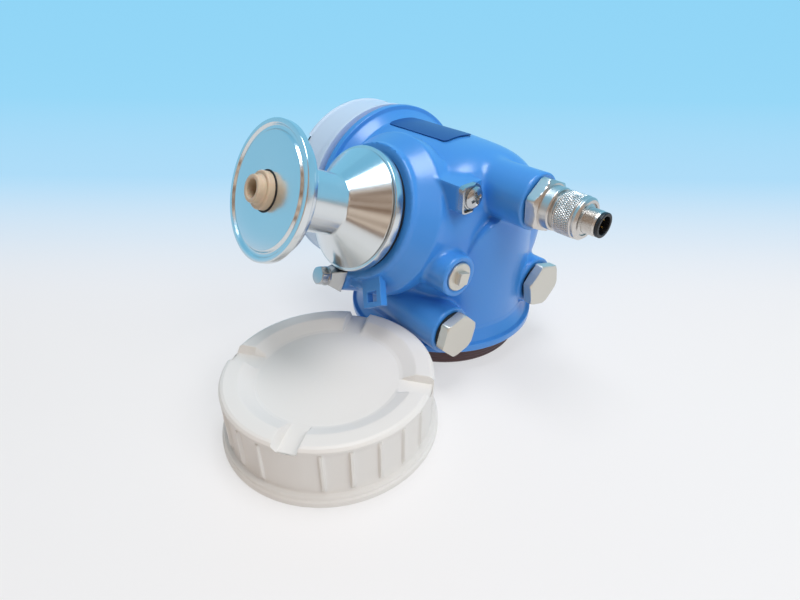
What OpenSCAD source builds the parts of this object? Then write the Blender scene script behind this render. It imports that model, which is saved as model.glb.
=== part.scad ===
// Radar level transmitter: a two-drum cast housing on a turned clamp adapter.
// The origin is the middle of the ferrule's sealing face, and +Z runs up the process axis to the housing.
// Millimetres throughout.

/* [Process adapter] */
// Outside diameter of the clamp ferrule
ferrule_d = 64; // [60:0.5:66]
// Thickness of the ferrule's rim
ferrule_rim = 3.6; // [2.8:0.1:4.5]
// Middle diameter of the gasket groove in the sealing face
gasket_d = 56.5; // [52:0.5:57]
// Width of the gasket groove
gasket_w = 3.2; // [2:0.1:4]
// Diameter of the second disc behind the rim
disc_d = 58; // [54:0.5:59]
// Height of the back of the second disc above the sealing face
disc_top = 7.6; // [6.5:0.1:9]
// Outside diameter of the tube
tube_d = 30; // [26:0.5:32]
// Length of the tube between the second disc and the cone
tube_len = 28; // [20:0.5:34]
// Height of the cone
cone_h = 13.8; // [11:0.1:16]
// Diameter of the base band at the top of the cone
band_d = 64; // [60:0.5:66]
// Height of the base band
band_h = 5.4; // [4:0.1:7]
// Diameter of the shank that the housing turns on
shank_d = 46; // [40:0.5:48]
// Length of the shank above the base band
shank_len = 21; // [20:0.5:23]

/* [Probe] */
// Diameter of the plastic bush at the sealing face
bush_d = 17.4; // [14:0.1:19]
// Diameter of the tip of the bush
bush_tip_d = 12.6; // [11:0.1:13.5]
// How far the bush stands out of the sealing face
bush_out = 7; // [6:0.1:9]
// Diameter of the hole in the bush
bush_hole_d = 8.4; // [7:0.1:9]
// Diameter of the inner conductor
stud_d = 5; // [4:0.1:5.5]
// Width of the black ring round the bush
bush_ring_w = 0.8; // [0.5:0.1:1.2]

/* [Housing] */
// Tilt of the open drum's axis against the process axis
body_tilt = 24; // [20:0.5:28]
// Place of the drums' crossing along the process axis
body_z = 116.7; // [116:0.1:118]
// Sideways place of the drums' crossing towards the open drum
body_x = -5.5; // [-7:0.1:-4]
// Sideways place of the drums' crossing towards the ports
body_y = -4.4; // [-6:0.1:-3]
// Radius of the electronics drum
drum_r = 50; // [49:0.1:51]
// Wall of the drums
wall = 6; // [5:0.1:6.5]
// Length of the electronics drum from the crossing to its domed front
drum_front = 43; // [42:0.5:45]
// Radius of the arch where the open drum stands proud of that front
arch_r = 27; // [26:0.5:28]
// How far that arch reaches above the crossing
arch_reach = 21; // [18:0.5:22]
// Place of the electronics drum's cover flange
rear_flange_y = 50.7; // [50:0.1:52]
// Height of the shoulder that carries the mounted cover clear of the open drum's flange
rear_shoulder = 6.4; // [6.3:0.1:8]
// Radius of the open drum
open_r = 50.5; // [49.5:0.1:51.5]
// Place of the open drum's cover flange
open_flange_x = 56; // [55:0.1:58]
// Radius of both cover flanges
flange_r = 56.6; // [56:0.1:58]
// Thickness of the flanges at their edge
flange_t = 4; // [3:0.1:5]
// Radius of the threaded collars
collar_r = 48.4; // [48:0.1:49]
// Length of the threaded collars
collar_len = 14; // [12:0.5:15]
// Radius of the bores inside the collars
bore_r = 43.5; // [42.5:0.1:44]

/* [Neck] */
// Radius of the neck's front ridge
neck_r = 35.4; // [35:0.1:37]
// Gap between the base band and the neck
neck_gap = 3; // [2.6:0.1:3.6]
// Radius of the neck where it meets the drum
neck_root_r = 43.5; // [42:0.1:45]
// Height of the flare of the neck
neck_flare = 11.5; // [9:0.5:13]

/* [Ports] */
// Across flats of the right blanking plug
right_plug_af = 24; // [22:0.5:25]
// Across flats of the left blanking plug
left_plug_af = 21.6; // [20:0.2:22]
// Height of the blanking plugs' heads
plug_head = 6; // [5:0.1:7]
// Distance of the right port from the crossing, along the open drum's axis
right_port_x = 30.5; // [29:0.1:32]
// Distance of the right port to the side
right_port_z = 28.5; // [27:0.1:30]
// Distance of the left port from the crossing, along the open drum's axis
left_port_x = 35; // [33:0.1:36]
// Distance of the left port to the side
left_port_z = 41; // [39:0.1:41.5]
// Radius of the right port's boss
right_boss_r = 14; // [13.5:0.1:15]
// Radius of the left port's boss
left_boss_r = 13; // [12.5:0.1:13.2]
// Place of the big ports' faces
port_face_y = 49; // [48:0.1:51]
// Radius of the connector's boss
conn_boss_r = 14.3; // [13.5:0.1:15]
// Place of the connector boss's face
conn_face_y = 64; // [62:0.5:66]
// Place of the connector along the open drum's axis
conn_x = 31; // [30:0.1:32]
// Place of the small plug to the side
small_port_z = 37; // [36:0.1:37.5]
// Place of the small plug along the open drum's axis
small_port_x = 4; // [3:0.1:5]
// Place of the small port's face
small_face_y = 49; // [48:0.1:51]
// Radius of the small port's boss
small_boss_r = 11; // [10.5:0.1:12]
// Radius of the small plug
small_plug_r = 8; // [7:0.1:9]

/* [Connector] */
// Across flats of the connector's hexagon
conn_af = 24; // [22:0.5:25]
// Thickness of that hexagon
conn_hex_t = 7; // [6:0.5:8]
// Radius of the collar in front of the hexagon
conn_collar_r = 10.4; // [10:0.1:11]
// Length of that collar
conn_collar_t = 5; // [4:0.1:6]
// Radius of the knurled sleeve
sleeve_r = 10.2; // [9.8:0.1:11]
// Length of the knurled sleeve
sleeve_len = 13; // [11:0.5:15]
// Radius of the threaded barrel
barrel_r = 6; // [5.8:0.1:6.2]
// Length of the threaded barrel
barrel_len = 8.4; // [8:0.1:10]
// Number of contact pins
pins = 4; // [4:1:5]

/* [Covers] */
// Outside radius of the taken-off cover's rim
cover_r = 54.3; // [53.8:0.1:55]
// Outside radius of the taken-off cover's skirt at the top
cover_skirt_r = 50.6; // [50.2:0.1:51]
// Height of the taken-off cover
cover_h = 32.5; // [30:0.5:34]
// Outside radius of the mounted cover's skirt
rear_skirt_r = 54.2; // [52:0.1:54.4]
// Height of the mounted cover
rear_cover_h = 26.8; // [26:0.1:30]
// Height of the rim
rim_h = 5.2; // [4:0.1:6]
// Radius of the sunk middle of the top
recess_r = 34.8; // [32:0.1:37]
// Depth of the sunk middle
recess_deep = 3.9; // [3:0.1:4.5]
// Width of the notches in the raised ring
notch_w = 9; // [6:0.5:12]
// Number of grip ribs between two notches
grip_ribs = 5; // [3:1:6]
// Turn of the taken-off cover on its rim
off_cover_turn = 53.5; // [0:0.5:90]
// Place of the taken-off cover to the ports' side
off_cover_y = 31; // [29:0.5:34]
// Place of the taken-off cover to the neck's side
off_cover_z = 105.6; // [105.4:0.1:108]

/* [Small parts] */
// Across flats of the locking screw
lock_af = 8; // [7:0.5:9]
// Distance of the locking screw from the process axis
lock_r = 38.6; // [38:0.1:40]
// Direction of the locking screw round the process axis
lock_az = 4; // [0:0.5:8]
// Direction of the eye round the process axis
eye_az = -32; // [-36:1:-28]
// Width of the eye
eye_w = 13.6; // [12:0.2:15]
// Distance of the eye's outer edge from the process axis
eye_reach = 50.5; // [49:0.5:52]
// Diameter of the ground screw's head
ground_head_d = 9.4; // [8:0.1:10]
// Length of the nameplate
plate_len = 48; // [40:1:52]
// Width of the nameplate
plate_w = 21; // [16:0.5:26]
// Thickness of the nameplate
plate_t = 0.6; // [0.4:0.1:1]

/* [Fits] */
// Clearance round a turning shank or screw
turn_gap = 0.05; // [0.03:0.01:0.08]
// Gap between parts that only lie against each other
seat_gap = 0.2; // [0.15:0.01:0.3]

/* [Hidden] */
$fn = 96;

// Process adapter, from the sealing face up.
cone_z = disc_top + tube_len;
cone_top_r = band_d / 2 - 1.6;
band_z = cone_z + cone_h;
band_top = band_z + band_h;
neck_z = band_top + neck_gap;
shank_top = band_top + shank_len;
seal_w = 3;
seal_deep = 2;
seal_z = neck_z + 4;
ring_t = 2;
ring_z = shank_top - 4;
adapter_bore_r = 6;
bush_r = bush_d / 2;
bush_top = 12;
ring_r = bush_r + bush_ring_w;
stud_top = shank_top + 6;

// Housing cavities, in the drums' own frame: X to the open drum, Y to the mounted cover.
cavity_r = drum_r - wall - 1;
floor_y = 8;
rear_seat_y = rear_flange_y + rear_shoulder;
shoulder_r = drum_r + 1.4;
pocket_x = 22;
ledge_x = open_flange_x - 7;
front_cavity_x = 9;
front_cavity_y = drum_front - wall;
dome = [[1, 0], [0.994, -0.23], [0.98, -0.465], [0.93, -0.7], [0.88, -0.86], [0.82, -0.942],
    [0.72, -0.984], [0.56, -0.998], [0, -1]];
well_r = shank_d / 2 + 3.4;
well_top = 92;
housing_bore_r = shank_d / 2 + turn_gap;

// O-rings in the collars' roots.
o_ring_w = 2.4;
groove_deep = 1.2;

// Ports.
right_port = [right_port_x, right_port_z];
left_port = [left_port_x, -left_port_z];
conn_port = [-conn_x, -1];
small_port = [small_port_x, -small_port_z];
plug_thread_r = 9.9;
plug_thread_len = 10;
plug_seal_t = 1.4;
small_thread_r = 4.5;
conn_thread_r = 9.9;
conn_thread_len = 9;
conn_seat_y = conn_face_y + seat_gap;

// Outside ground terminal.
ground_pos = [-34, -27];
ground_box = [13, 16];
ground_y = 42.7;
ground_shank_r = 2.5;
saddle_t = 1.3;
saddle_lip = 2.2;
saddle_side = 3.4;
saddle_w = 11.2;

// Locking screw.
lock_shank_r = 3;
lug_r = 7;
clamp_t = 8.4;
clamp_z = neck_z - clamp_t - seat_gap;
lock_head_t = 4.4;
washer_t = 1.2;

// Electronics and terminals.
module_r = cavity_r - 3.5;
module_len = 30;
module_screw_pos = [[31, 15], [31, -15]];
block = [13, 16, 58];
block_y = 22;
terminals = 6;
terminal_step = 9;

function arc(c, r, a0, a1, n = 8) =
    [for (i = [0 : n]) c + r * [cos(a0 + (a1 - a0) * i / n), sin(a0 + (a1 - a0) * i / n)]];

// The drums' own frame.
module in_body() {
    translate([body_x, body_y, body_z]) rotate([0, -body_tilt, 0]) children();
}

// Turns Z to the mounted cover, to the ports or to the open drum.
module along_y() {
    rotate([-90, 0, 0]) children();
}
module to_ports(at = [0, 0], y = 0) {
    translate([at[0], -y, at[1]]) rotate([90, 0, 0]) children();
}
module along_x() {
    rotate([0, 90, 0]) children();
}
module round_az(az, r, z) {
    rotate([0, 0, az]) translate([r, 0, z]) children();
}
module tube(r_out, r_in, h) {
    rotate_extrude() translate([r_in, 0]) square([r_out - r_in, h]);
}
module hexagon(af, h) {
    cylinder(d = af / cos(30), h = h, $fn = 6);
}

// A drum's cover end: flange, sealing groove and collar, standing on Z = 0.
// A drum's end: the flange, and from the cover's seat on the O-ring groove and the threaded collar.
module cover_end(shoulder = 0) {
    groove_r = collar_r - groove_deep;
    groove_top = shoulder + o_ring_w + seat_gap;
    collar_top = shoulder + collar_len;
    rotate_extrude() polygon(concat(
        [[0, -flange_t - 7], [drum_r - 1, -flange_t - 7], [flange_r - 0.8, -flange_t]],
        arc([flange_r - 0.8, -flange_t + 0.8], 0.8, -90, 0, 3),
        arc([flange_r - 0.8, -0.8], 0.8, 0, 90, 3),
        shoulder > 0 ? [[shoulder_r, 0], [shoulder_r, shoulder]] : [],
        [[groove_r, shoulder], [groove_r, groove_top], [collar_r, groove_top],
         [collar_r, collar_top - 1], [collar_r - 1, collar_top], [0, collar_top]]));
}

module electronics_drum() {
    along_y() rotate_extrude() polygon(concat([for (p = dome) [p[0] * drum_r, p[1] * drum_front]],
        [[0, rear_flange_y - 1], [drum_r, rear_flange_y - 1]]));
    translate([0, rear_flange_y, 0]) along_y() cover_end(rear_shoulder);
}

module open_drum() {
    arch_x = arch_r - arch_reach;
    intersection() {
        translate([-arch_r, 0, 0]) along_x() cylinder(r = open_r, h = open_flange_x - 1 + arch_r);
        union() {
            translate([arch_x, 0, 0]) rotate([90, 0, 0]) cylinder(r = arch_r, h = drum_r * 2);
            translate([arch_x, -drum_r - 5, -drum_r - 5]) cube(2 * drum_r + 10);
        }
    }
    translate([open_flange_x, 0, 0]) along_x() cover_end();
}

module neck_form() {
    rotate_extrude() polygon(concat([[0, neck_z]], arc([neck_r - 1.2, neck_z + 1.2], 1.2, -90, 0, 4),
        [[neck_r + 0.6, neck_z + 3], [neck_root_r, neck_z + neck_flare],
         [neck_root_r, neck_z + neck_flare + 8], [0, neck_z + neck_flare + 20]]));
}

module port_boss(at, r, face) {
    to_ports(at, face) rotate([180, 0, 0]) {
        translate([0, 0, 1]) cylinder(r = r, h = face - 9);
        cylinder(r1 = r - 1, r2 = r, h = 1);
    }
}

module ground_boss() {
    translate([ground_pos[0] - ground_box[0] / 2, -ground_y, ground_pos[1] - ground_box[1] / 2])
        cube([ground_box[0], ground_y - 16, ground_box[1]]);
}

// The lug of the locking screw, the rib beside the neck and the eye.
module lock_lug() {
    round_az(lock_az, lock_r, neck_z) cylinder(r = lug_r, h = 16);
    rotate([0, 0, eye_az]) rotate_extrude(angle = lock_az - eye_az)
        translate([neck_r - 3, neck_z + 2.6]) square([lock_r + 2 - neck_r + 3, 7]);
    round_az(eye_az, neck_r, neck_z + 2) difference() {
        translate([-2, -eye_w / 2, 0]) cube([eye_reach - neck_r + 2, eye_w, 4.4]);
        translate([eye_reach - neck_r - 7.4, -eye_w / 4, -1]) cube([4.8, eye_w / 2, 7]);
    }
}

module housing() {
    color("#3d7fd0") difference() {
        union() {
            in_body() {
                electronics_drum();
                open_drum();
                port_boss(right_port, right_boss_r, port_face_y);
                port_boss(left_port, left_boss_r, port_face_y);
                port_boss(conn_port, conn_boss_r, conn_face_y);
                port_boss(small_port, small_boss_r, small_face_y);
                ground_boss();
            }
            neck_form();
            lock_lug();
        }
        in_body() {
            // Electronics cavity, behind the mounted cover and in front of the crossing.
            translate([0, floor_y, 0]) along_y() cylinder(r = cavity_r, h = rear_seat_y + collar_len);
            intersection() {
                translate([0, -front_cavity_y, 0]) along_y()
                    cylinder(r = cavity_r - 5, h = front_cavity_y + floor_y + 1);
                translate([-drum_r, -drum_r, -drum_r])
                    cube([drum_r + front_cavity_x, 2 * drum_r, 2 * drum_r]);
            }
            // The face that the terminal cover and its O-ring seat on.
            translate([open_flange_x, 0, 0]) along_x() {
                tube(flange_r + 4, collar_r, collar_len);
                tube(flange_r + 4, collar_r - groove_deep, o_ring_w + seat_gap);
            }
            // Terminal cavity, and the pocket behind the ports.
            translate([ledge_x, 0, 0]) along_x() cylinder(r = bore_r, h = 40);
            intersection() {
                translate([pocket_x, 0, 0]) along_x() cylinder(r = bore_r, h = 40);
                translate([0, -drum_r, -drum_r]) cube([drum_r * 2, drum_r + 2, 2 * drum_r]);
            }
            to_ports(right_port, port_face_y + 1) rotate([180, 0, 0])
                cylinder(r = plug_thread_r + turn_gap, h = port_face_y - 22);
            to_ports(left_port, port_face_y + 1) rotate([180, 0, 0])
                cylinder(r = plug_thread_r + turn_gap, h = port_face_y - 20);
            to_ports(conn_port, conn_face_y + 1) rotate([180, 0, 0])
                cylinder(r = conn_thread_r + turn_gap, h = conn_face_y - 20);
            to_ports(small_port, small_face_y + 1) rotate([180, 0, 0])
                cylinder(r = small_thread_r + turn_gap, h = small_face_y - 25);
            to_ports(small_port, small_face_y + 1) rotate([180, 0, 0])
                cylinder(r = small_plug_r + seat_gap, h = 2);
            to_ports(ground_pos, ground_y + 1) rotate([180, 0, 0])
                cylinder(r = ground_shank_r + turn_gap, h = 12);
            translate([ledge_x - 8, block_y, 0]) along_x() cylinder(r = 5 + turn_gap, h = 20);
            for (s = [-1, 1]) translate([ledge_x - 4, block_y, s * 24.5]) along_x()
                cylinder(r = 1.6, h = 5);
            translate([ledge_x - 4, 10, 34]) along_x() cylinder(r = 2 + turn_gap, h = 5);
            for (p = module_screw_pos) translate([p[0], floor_y - 4.5, p[1]]) along_y()
                cylinder(r = 1.5 + turn_gap, h = 6);
        }
        translate([0, 0, neck_z - 1]) cylinder(r = housing_bore_r, h = shank_top - neck_z - 2);
        translate([0, 0, shank_top - 5]) cylinder(r = well_r, h = well_top - shank_top + 5);
        round_az(lock_az, lock_r, neck_z - 1) cylinder(r = lock_shank_r + turn_gap, h = 13);
    }
}

module process_adapter() {
    color("#c9d3da") difference() {
        rotate_extrude() polygon([
            [0, 0], [gasket_d / 2 - gasket_w / 2, 0], [gasket_d / 2 - gasket_w / 4, 1.1],
            [gasket_d / 2 + gasket_w / 4, 1.1], [gasket_d / 2 + gasket_w / 2, 0], [ferrule_d / 2, 0],
            [ferrule_d / 2, ferrule_rim - 0.4], [ferrule_d / 2 - 0.4, ferrule_rim],
            [disc_d / 2 + 0.5, ferrule_rim], [disc_d / 2 - 0.4, ferrule_rim + 0.4],
            [disc_d / 2 - 0.4, ferrule_rim + 0.9], [disc_d / 2, ferrule_rim + 1.2],
            [disc_d / 2 - 0.4, disc_top - 0.4], [disc_d / 2 - 0.8, disc_top], [tube_d / 2 + 1, disc_top],
            [tube_d / 2, disc_top + 1], [tube_d / 2, cone_z], [cone_top_r, band_z - 0.4],
            [cone_top_r, band_z - 0.1], [cone_top_r - 0.5, band_z - 0.1], [cone_top_r - 0.5, band_z + 0.2],
            [band_d / 2 - 0.3, band_z + 0.2], [band_d / 2, band_z + 0.5], [band_d / 2, band_top - 0.3],
            [band_d / 2 - 0.3, band_top], [shank_d / 2, band_top],
            [shank_d / 2, seal_z - seal_w / 2], [shank_d / 2 - seal_deep, seal_z - seal_w / 2],
            [shank_d / 2 - seal_deep, seal_z + seal_w / 2], [shank_d / 2, seal_z + seal_w / 2],
            [shank_d / 2, ring_z - 0.1], [shank_d / 2 - 1.6, ring_z - 0.1],
            [shank_d / 2 - 1.6, ring_z + ring_t + 0.1],
            [shank_d / 2, ring_z + ring_t + 0.1], [shank_d / 2, shank_top - 0.6],
            [shank_d / 2 - 0.6, shank_top],
            [0, shank_top]]);
        translate([0, 0, -1]) cylinder(r = adapter_bore_r, h = shank_top + 2);
        translate([0, 0, -1]) cylinder(r = bush_r + turn_gap, h = bush_top + 1 + seat_gap);
        translate([0, 0, -1]) cylinder(r = ring_r + turn_gap, h = 1 + bush_ring_w * 2 + seat_gap);
    }
}

module neck_ring() {
    color("#15171a") translate([0, 0, band_top]) tube(band_d / 2 - 1, shank_d / 2 + 0.2, neck_gap - 0.3);
}

module neck_seal() {
    color("#1b1b1c") translate([0, 0, seal_z]) rotate_extrude()
        translate([shank_d / 2 - seal_deep + 0.9, 0]) circle(r = 0.85, $fn = 20);
}

module retaining_ring() {
    color("#8d9297") translate([0, 0, ring_z]) difference() {
        tube(shank_d / 2 + 2.4, shank_d / 2 - 1.5, ring_t);
        rotate([0, 0, 90]) translate([shank_d / 2 - 4, -4, -1]) cube([8, 8, ring_t + 2]);
    }
}

module probe_bush() {
    color("#d8c2a4") rotate_extrude() polygon([
        [bush_hole_d / 2, -bush_out + 0.5], [bush_hole_d / 2 + 0.5, -bush_out],
        [bush_tip_d / 2 - 0.6, -bush_out], [bush_tip_d / 2, -bush_out + 0.6],
        [bush_tip_d / 2, -bush_out / 2 - 0.7], [bush_tip_d / 2 + 0.7, -bush_out / 2],
        [bush_r - 0.7, -bush_out / 2], [bush_r, -bush_out / 2 + 0.7], [bush_r, bush_top],
        [stud_d / 2 + turn_gap, bush_top], [stud_d / 2 + turn_gap, 3], [bush_hole_d / 2, 3]]);
}

module bush_seal() {
    color("#101112") translate([0, 0, -0.3]) tube(ring_r, bush_r + turn_gap, bush_ring_w * 2 + 0.3);
}

module coupling_stud() {
    color("#c8b06a") difference() {
        translate([0, 0, 3.4]) cylinder(d = stud_d, h = stud_top - 3.4);
        translate([0, 0, 3]) cylinder(r = stud_d * 0.3, h = 8);
    }
}

module feed_insulator() {
    color("#e8e4da") translate([0, 0, shank_top - 12])
        tube(adapter_bore_r - turn_gap, stud_d / 2 + turn_gap, 12);
}

// The socket over the stud and the lead that bends to the electronics.
module signal_cable() {
    bend = floor_y + seat_gap + body_y;
    color("#8a5a2b") {
        translate([0, 0, stud_top - 5]) difference() {
            cylinder(r = bend - seat_gap, h = 8);
            translate([0, 0, -1]) cylinder(r = stud_d / 2 + 0.4, h = 7);
        }
        translate([0, bend, stud_top + 3]) rotate([90, 0, 90]) rotate([0, 0, 90])
            rotate_extrude(angle = 90, $fn = 64) translate([bend, 0]) circle(r = 1.4, $fn = 20);
    }
}

// The potted electronics, screwed to the floor of its compartment.
module electronics_module() {
    color("#2a6e5a") in_body() difference() {
        translate([0, floor_y + seat_gap, 0]) along_y() union() {
            cylinder(r = module_r, h = 6);
            cylinder(r = module_r - 3, h = module_len);
            translate([-16, -12, module_len - 1]) cube([32, 24, 5]);
        }
        for (p = module_screw_pos) translate([p[0], floor_y - 1, p[1]]) along_y() {
            cylinder(r = 1.8, h = module_len + 3);
            translate([0, 0, 6]) cylinder(r = 4.4, h = module_len + 3);
        }
    }
}

module module_screws() {
    color("#b9bec3") in_body() for (p = module_screw_pos)
        translate([p[0], floor_y + seat_gap + 5, p[1]]) along_y() difference() {
            union() {
                translate([0, 0, -9]) cylinder(r = 1.5, h = 9.5);
                cylinder(r = 3, h = 2.6);
            }
            translate([-0.5, -3.5, 1.6]) cube([1, 7, 2]);
        }
}

module feedthrough() {
    color("#b4a26a") in_body() translate([ledge_x - 7.5, block_y, 0]) along_x() difference() {
        cylinder(r = 5, h = 7.4);
        for (z = [-2, 2]) translate([z, 0, 5.4]) cylinder(r = 0.8, h = 3, $fn = 24);
    }
}

module terminal_block() {
    color("#3c8a4c") in_body() translate([ledge_x, block_y, 0]) difference() {
        union() {
            translate([0, -block[1] / 2, -block[2] / 2]) cube([block[0] - 3, block[1], block[2]]);
            translate([0, 0, -block[2] / 2]) cube([block[0], block[1] / 2, block[2]]);
        }
        for (i = [0 : terminals - 1]) translate([0, 0, (i - (terminals - 1) / 2) * terminal_step]) {
            translate([4, -block[1] / 2 - 1, 0]) along_y() cylinder(r = 2, h = 9, $fn = 32);
            translate([block[0] - 6, -block[1] / 4 - 0.5, 0]) along_x()
                cylinder(r = 1.5 + turn_gap, h = 9);
            translate([block[0] - 4.5, -block[1] / 4 - 0.5, 0]) along_x() cylinder(r = 2.6, h = 9);
        }
        for (s = [-1, 1]) translate([-1, 0, s * 24.5]) along_x() cylinder(r = 1.6, h = 6);
    }
}

module terminal_screws() {
    at = [ledge_x + block[0] - 4.5, block_y - block[1] / 4 - 0.5];
    color("#c9cdd0") in_body() for (i = [0 : terminals - 1])
        translate([at[0], at[1], (i - (terminals - 1) / 2) * terminal_step])
            along_x() difference() {
                union() {
                    translate([0, 0, -1.4]) cylinder(r = 1.5, h = 2);
                    cylinder(r = 2.3, h = 2.4);
                }
                translate([-0.4, -2.6, 1.4]) cube([0.8, 5.2, 2]);
            }
}

module inner_ground_screw() {
    color("#c9cdd0") in_body() translate([ledge_x, 10, 34]) along_x() difference() {
        union() {
            translate([0, 0, -3.6]) cylinder(r = 2, h = 5);
            cylinder(r = 3.6, h = 1);
            translate([0, 0, 1]) cylinder(r = 3.1, h = 2.4);
        }
        translate([-0.5, -3.5, 2.2]) cube([1, 7, 2]);
    }
}

// The O-ring at a collar's root.
module collar_seal() {
    cord_r = o_ring_w / 2 - 0.05;
    rotate_extrude() translate([collar_r - groove_deep + cord_r + turn_gap, o_ring_w / 2 + turn_gap])
        circle(r = cord_r, $fn = 20);
}

module electronics_seal() {
    color("#8a2f22") in_body() translate([0, rear_seat_y, 0]) along_y() collar_seal();
}

module terminal_seal() {
    color("#8a2f22") in_body() translate([open_flange_x, 0, 0]) along_x() collar_seal();
}

// A cover standing on its open end: the rim, the ribbed skirt and the notched ring round a sunk middle.
module cover_form(rim, skirt, h, ribs) {
    floor_h = h - recess_deep;
    bore = collar_r + 0.4;
    ring_flat = recess_r + 7;
    difference() {
        union() {
            rotate_extrude() polygon([
                [0, floor_h - 3.6], [bore - 6, floor_h - 3.6], [bore - 3, floor_h - 6.6],
                [bore - 3, collar_len + 1.5], [bore, collar_len + 1.5], [bore, 3.4], [bore + 1.8, 3.1],
                [bore + 1.8, 0], [rim - 0.4, 0], [rim, 0.4], [rim, rim_h * 0.5],
                [rim - 0.7, rim_h * 0.5 + 0.6],
                [rim - 0.9, rim_h - 0.6],
                [skirt + (rim - skirt) * 0.5, rim_h], [skirt + (rim - skirt) * 0.2, rim_h + 0.5],
                [skirt, h - 3.4], [skirt + 0.9, h - 2.8], [skirt + 0.9, h - 1.6], [skirt - 0.2, h - 0.5],
                [skirt - 1.6, h], [ring_flat, h], [ring_flat - 1.4, h - 0.3],
                [recess_r + 0.6, floor_h + 0.5], [recess_r, floor_h], [0, floor_h]]);
            for (q = [0 : 3], i = [0 : ribs - 1]) rotate([0, 0, q * 90 + 45 + (i - (ribs - 1) / 2) * 14.5])
                translate([skirt - 1, -0.9, rim_h / 2]) cube([1.7, 1.8, h - rim_h / 2 - 3]);
        }
        for (q = [0 : 3]) rotate([0, 0, q * 90]) {
            translate([recess_r + 1, -notch_w / 2, floor_h]) cube([rim, notch_w, h]);
            translate([recess_r + 1, -notch_w / 2, floor_h]) rotate([-24, 0, 0])
                translate([0, -notch_w / 2, 0]) cube([rim, notch_w, h]);
        }
    }
}

module electronics_cover() {
    color("#e4e1dc") in_body() translate([0, rear_seat_y + seat_gap, 0]) along_y()
        cover_form(rear_skirt_r + 1.5, rear_skirt_r, rear_cover_h, grip_ribs);
}

// Taken off, standing on its rim in the open rim's plane.
module terminal_cover() {
    color("#e4e1dc") in_body() translate([open_flange_x + collar_len, -off_cover_y, -off_cover_z])
        rotate([0, -90, 0]) rotate([0, 0, 180 - off_cover_turn])
            cover_form(cover_r, cover_skirt_r, cover_h, grip_ribs);
}

module lock_screw() {
    color("#ced3d7") round_az(lock_az, lock_r, clamp_z - 0.3) difference() {
        union() {
            translate([0, 0, -washer_t]) cylinder(r = lock_af * 0.66, h = washer_t);
            translate([0, 0, -washer_t - lock_head_t]) intersection() {
                hexagon(lock_af, lock_head_t);
                cylinder(r1 = lock_af * 0.48, r2 = lock_af * 0.48 + lock_head_t, h = lock_head_t);
            }
            cylinder(r = lock_shank_r, h = clamp_t + 11);
        }
        translate([0, 0, -washer_t - lock_head_t - 1]) cylinder(r = 1.2, h = 2, $fn = 24);
    }
}

// The block that grips the band when the screw is drawn up.
module lock_clamp() {
    color("#b8bdc1") difference() {
        rotate([0, 0, lock_az]) translate([band_d / 2 + 0.4, -6, clamp_z])
            cube([lock_r + 6.4 - band_d / 2 - 0.4, 12, clamp_t]);
        round_az(lock_az, lock_r, clamp_z - 1) cylinder(r = lock_shank_r + turn_gap, h = clamp_t + 2);
    }
}

// The bent plate that holds the ground wire.
module ground_saddle() {
    edge = ground_box[1] / 2 + seat_gap + saddle_t;
    lip = ground_box[1] / 2 - 0.6;
    color("#c6cacd") in_body() to_ports(ground_pos, ground_y) difference() {
        translate([-saddle_w / 2, 0, 0]) {
            translate([0, -edge, 0]) cube([saddle_w, edge + lip, saddle_t]);
            translate([0, -edge, -saddle_side]) cube([saddle_w, saddle_t, saddle_side + saddle_t]);
            translate([0, lip - saddle_t, 0]) cube([saddle_w, saddle_t, saddle_t + saddle_lip]);
        }
        translate([0, 0, -1]) cylinder(r = ground_shank_r + turn_gap, h = 4);
    }
}

module ground_screw() {
    color("#d2d6d9") in_body() to_ports(ground_pos, ground_y + saddle_t) difference() {
        union() {
            translate([0, 0, -saddle_t - 10]) cylinder(r = ground_shank_r, h = saddle_t + 10.5);
            cylinder(d = ground_head_d + 1.4, h = 0.9);
            translate([0, 0, 0.9]) rotate_extrude() polygon([
                [0, 0], [ground_head_d / 2, 0], [ground_head_d / 2, 1.4],
                [ground_head_d / 2 - 0.6, 2.5], [ground_head_d / 2 - 2, 3.2], [0, 3.4]]);
        }
        for (a = [0, 90]) rotate([0, 0, a + 20]) translate([-2.6, -0.55, 2.4]) cube([5.2, 1.1, 3]);
        translate([0, 0, 2.4]) cylinder(r = 1.1, h = 3, $fn = 24);
    }
}

// Connector parts stand on the connector boss, Z outward.
module at_conn(h = 0) {
    in_body() to_ports(conn_port, conn_seat_y + h) children();
}

module m12_body() {
    top = conn_hex_t + conn_collar_t;
    color("#cfc9bd") at_conn() difference() {
        union() {
            translate([0, 0, -conn_thread_len]) cylinder(r = conn_thread_r, h = conn_thread_len + 1);
            intersection() {
                hexagon(conn_af, conn_hex_t);
                cylinder(r1 = conn_af * 0.55, r2 = conn_af * 0.55 + 0.6, h = conn_hex_t);
                cylinder(r1 = conn_af * 0.52 + conn_hex_t, r2 = conn_af * 0.52, h = conn_hex_t);
            }
            cylinder(r = conn_collar_r, h = top - 0.6);
            cylinder(r = conn_collar_r - 0.6, h = top);
            cylinder(r = conn_collar_r - 1.9, h = top + 1.6);
            cylinder(r = barrel_r + 1.6, h = top + 1.6 + sleeve_len - 0.6);
            cylinder(r = barrel_r, h = top + 1.6 + sleeve_len + barrel_len - 1.8);
        }
        translate([0, 0, -conn_thread_len - 1]) cylinder(r = barrel_r - 1, h = 80);
        translate([-0.8, barrel_r - 0.7, top + 1.6 + sleeve_len + 2]) cube([1.6, 2, barrel_len]);
    }
}

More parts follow.
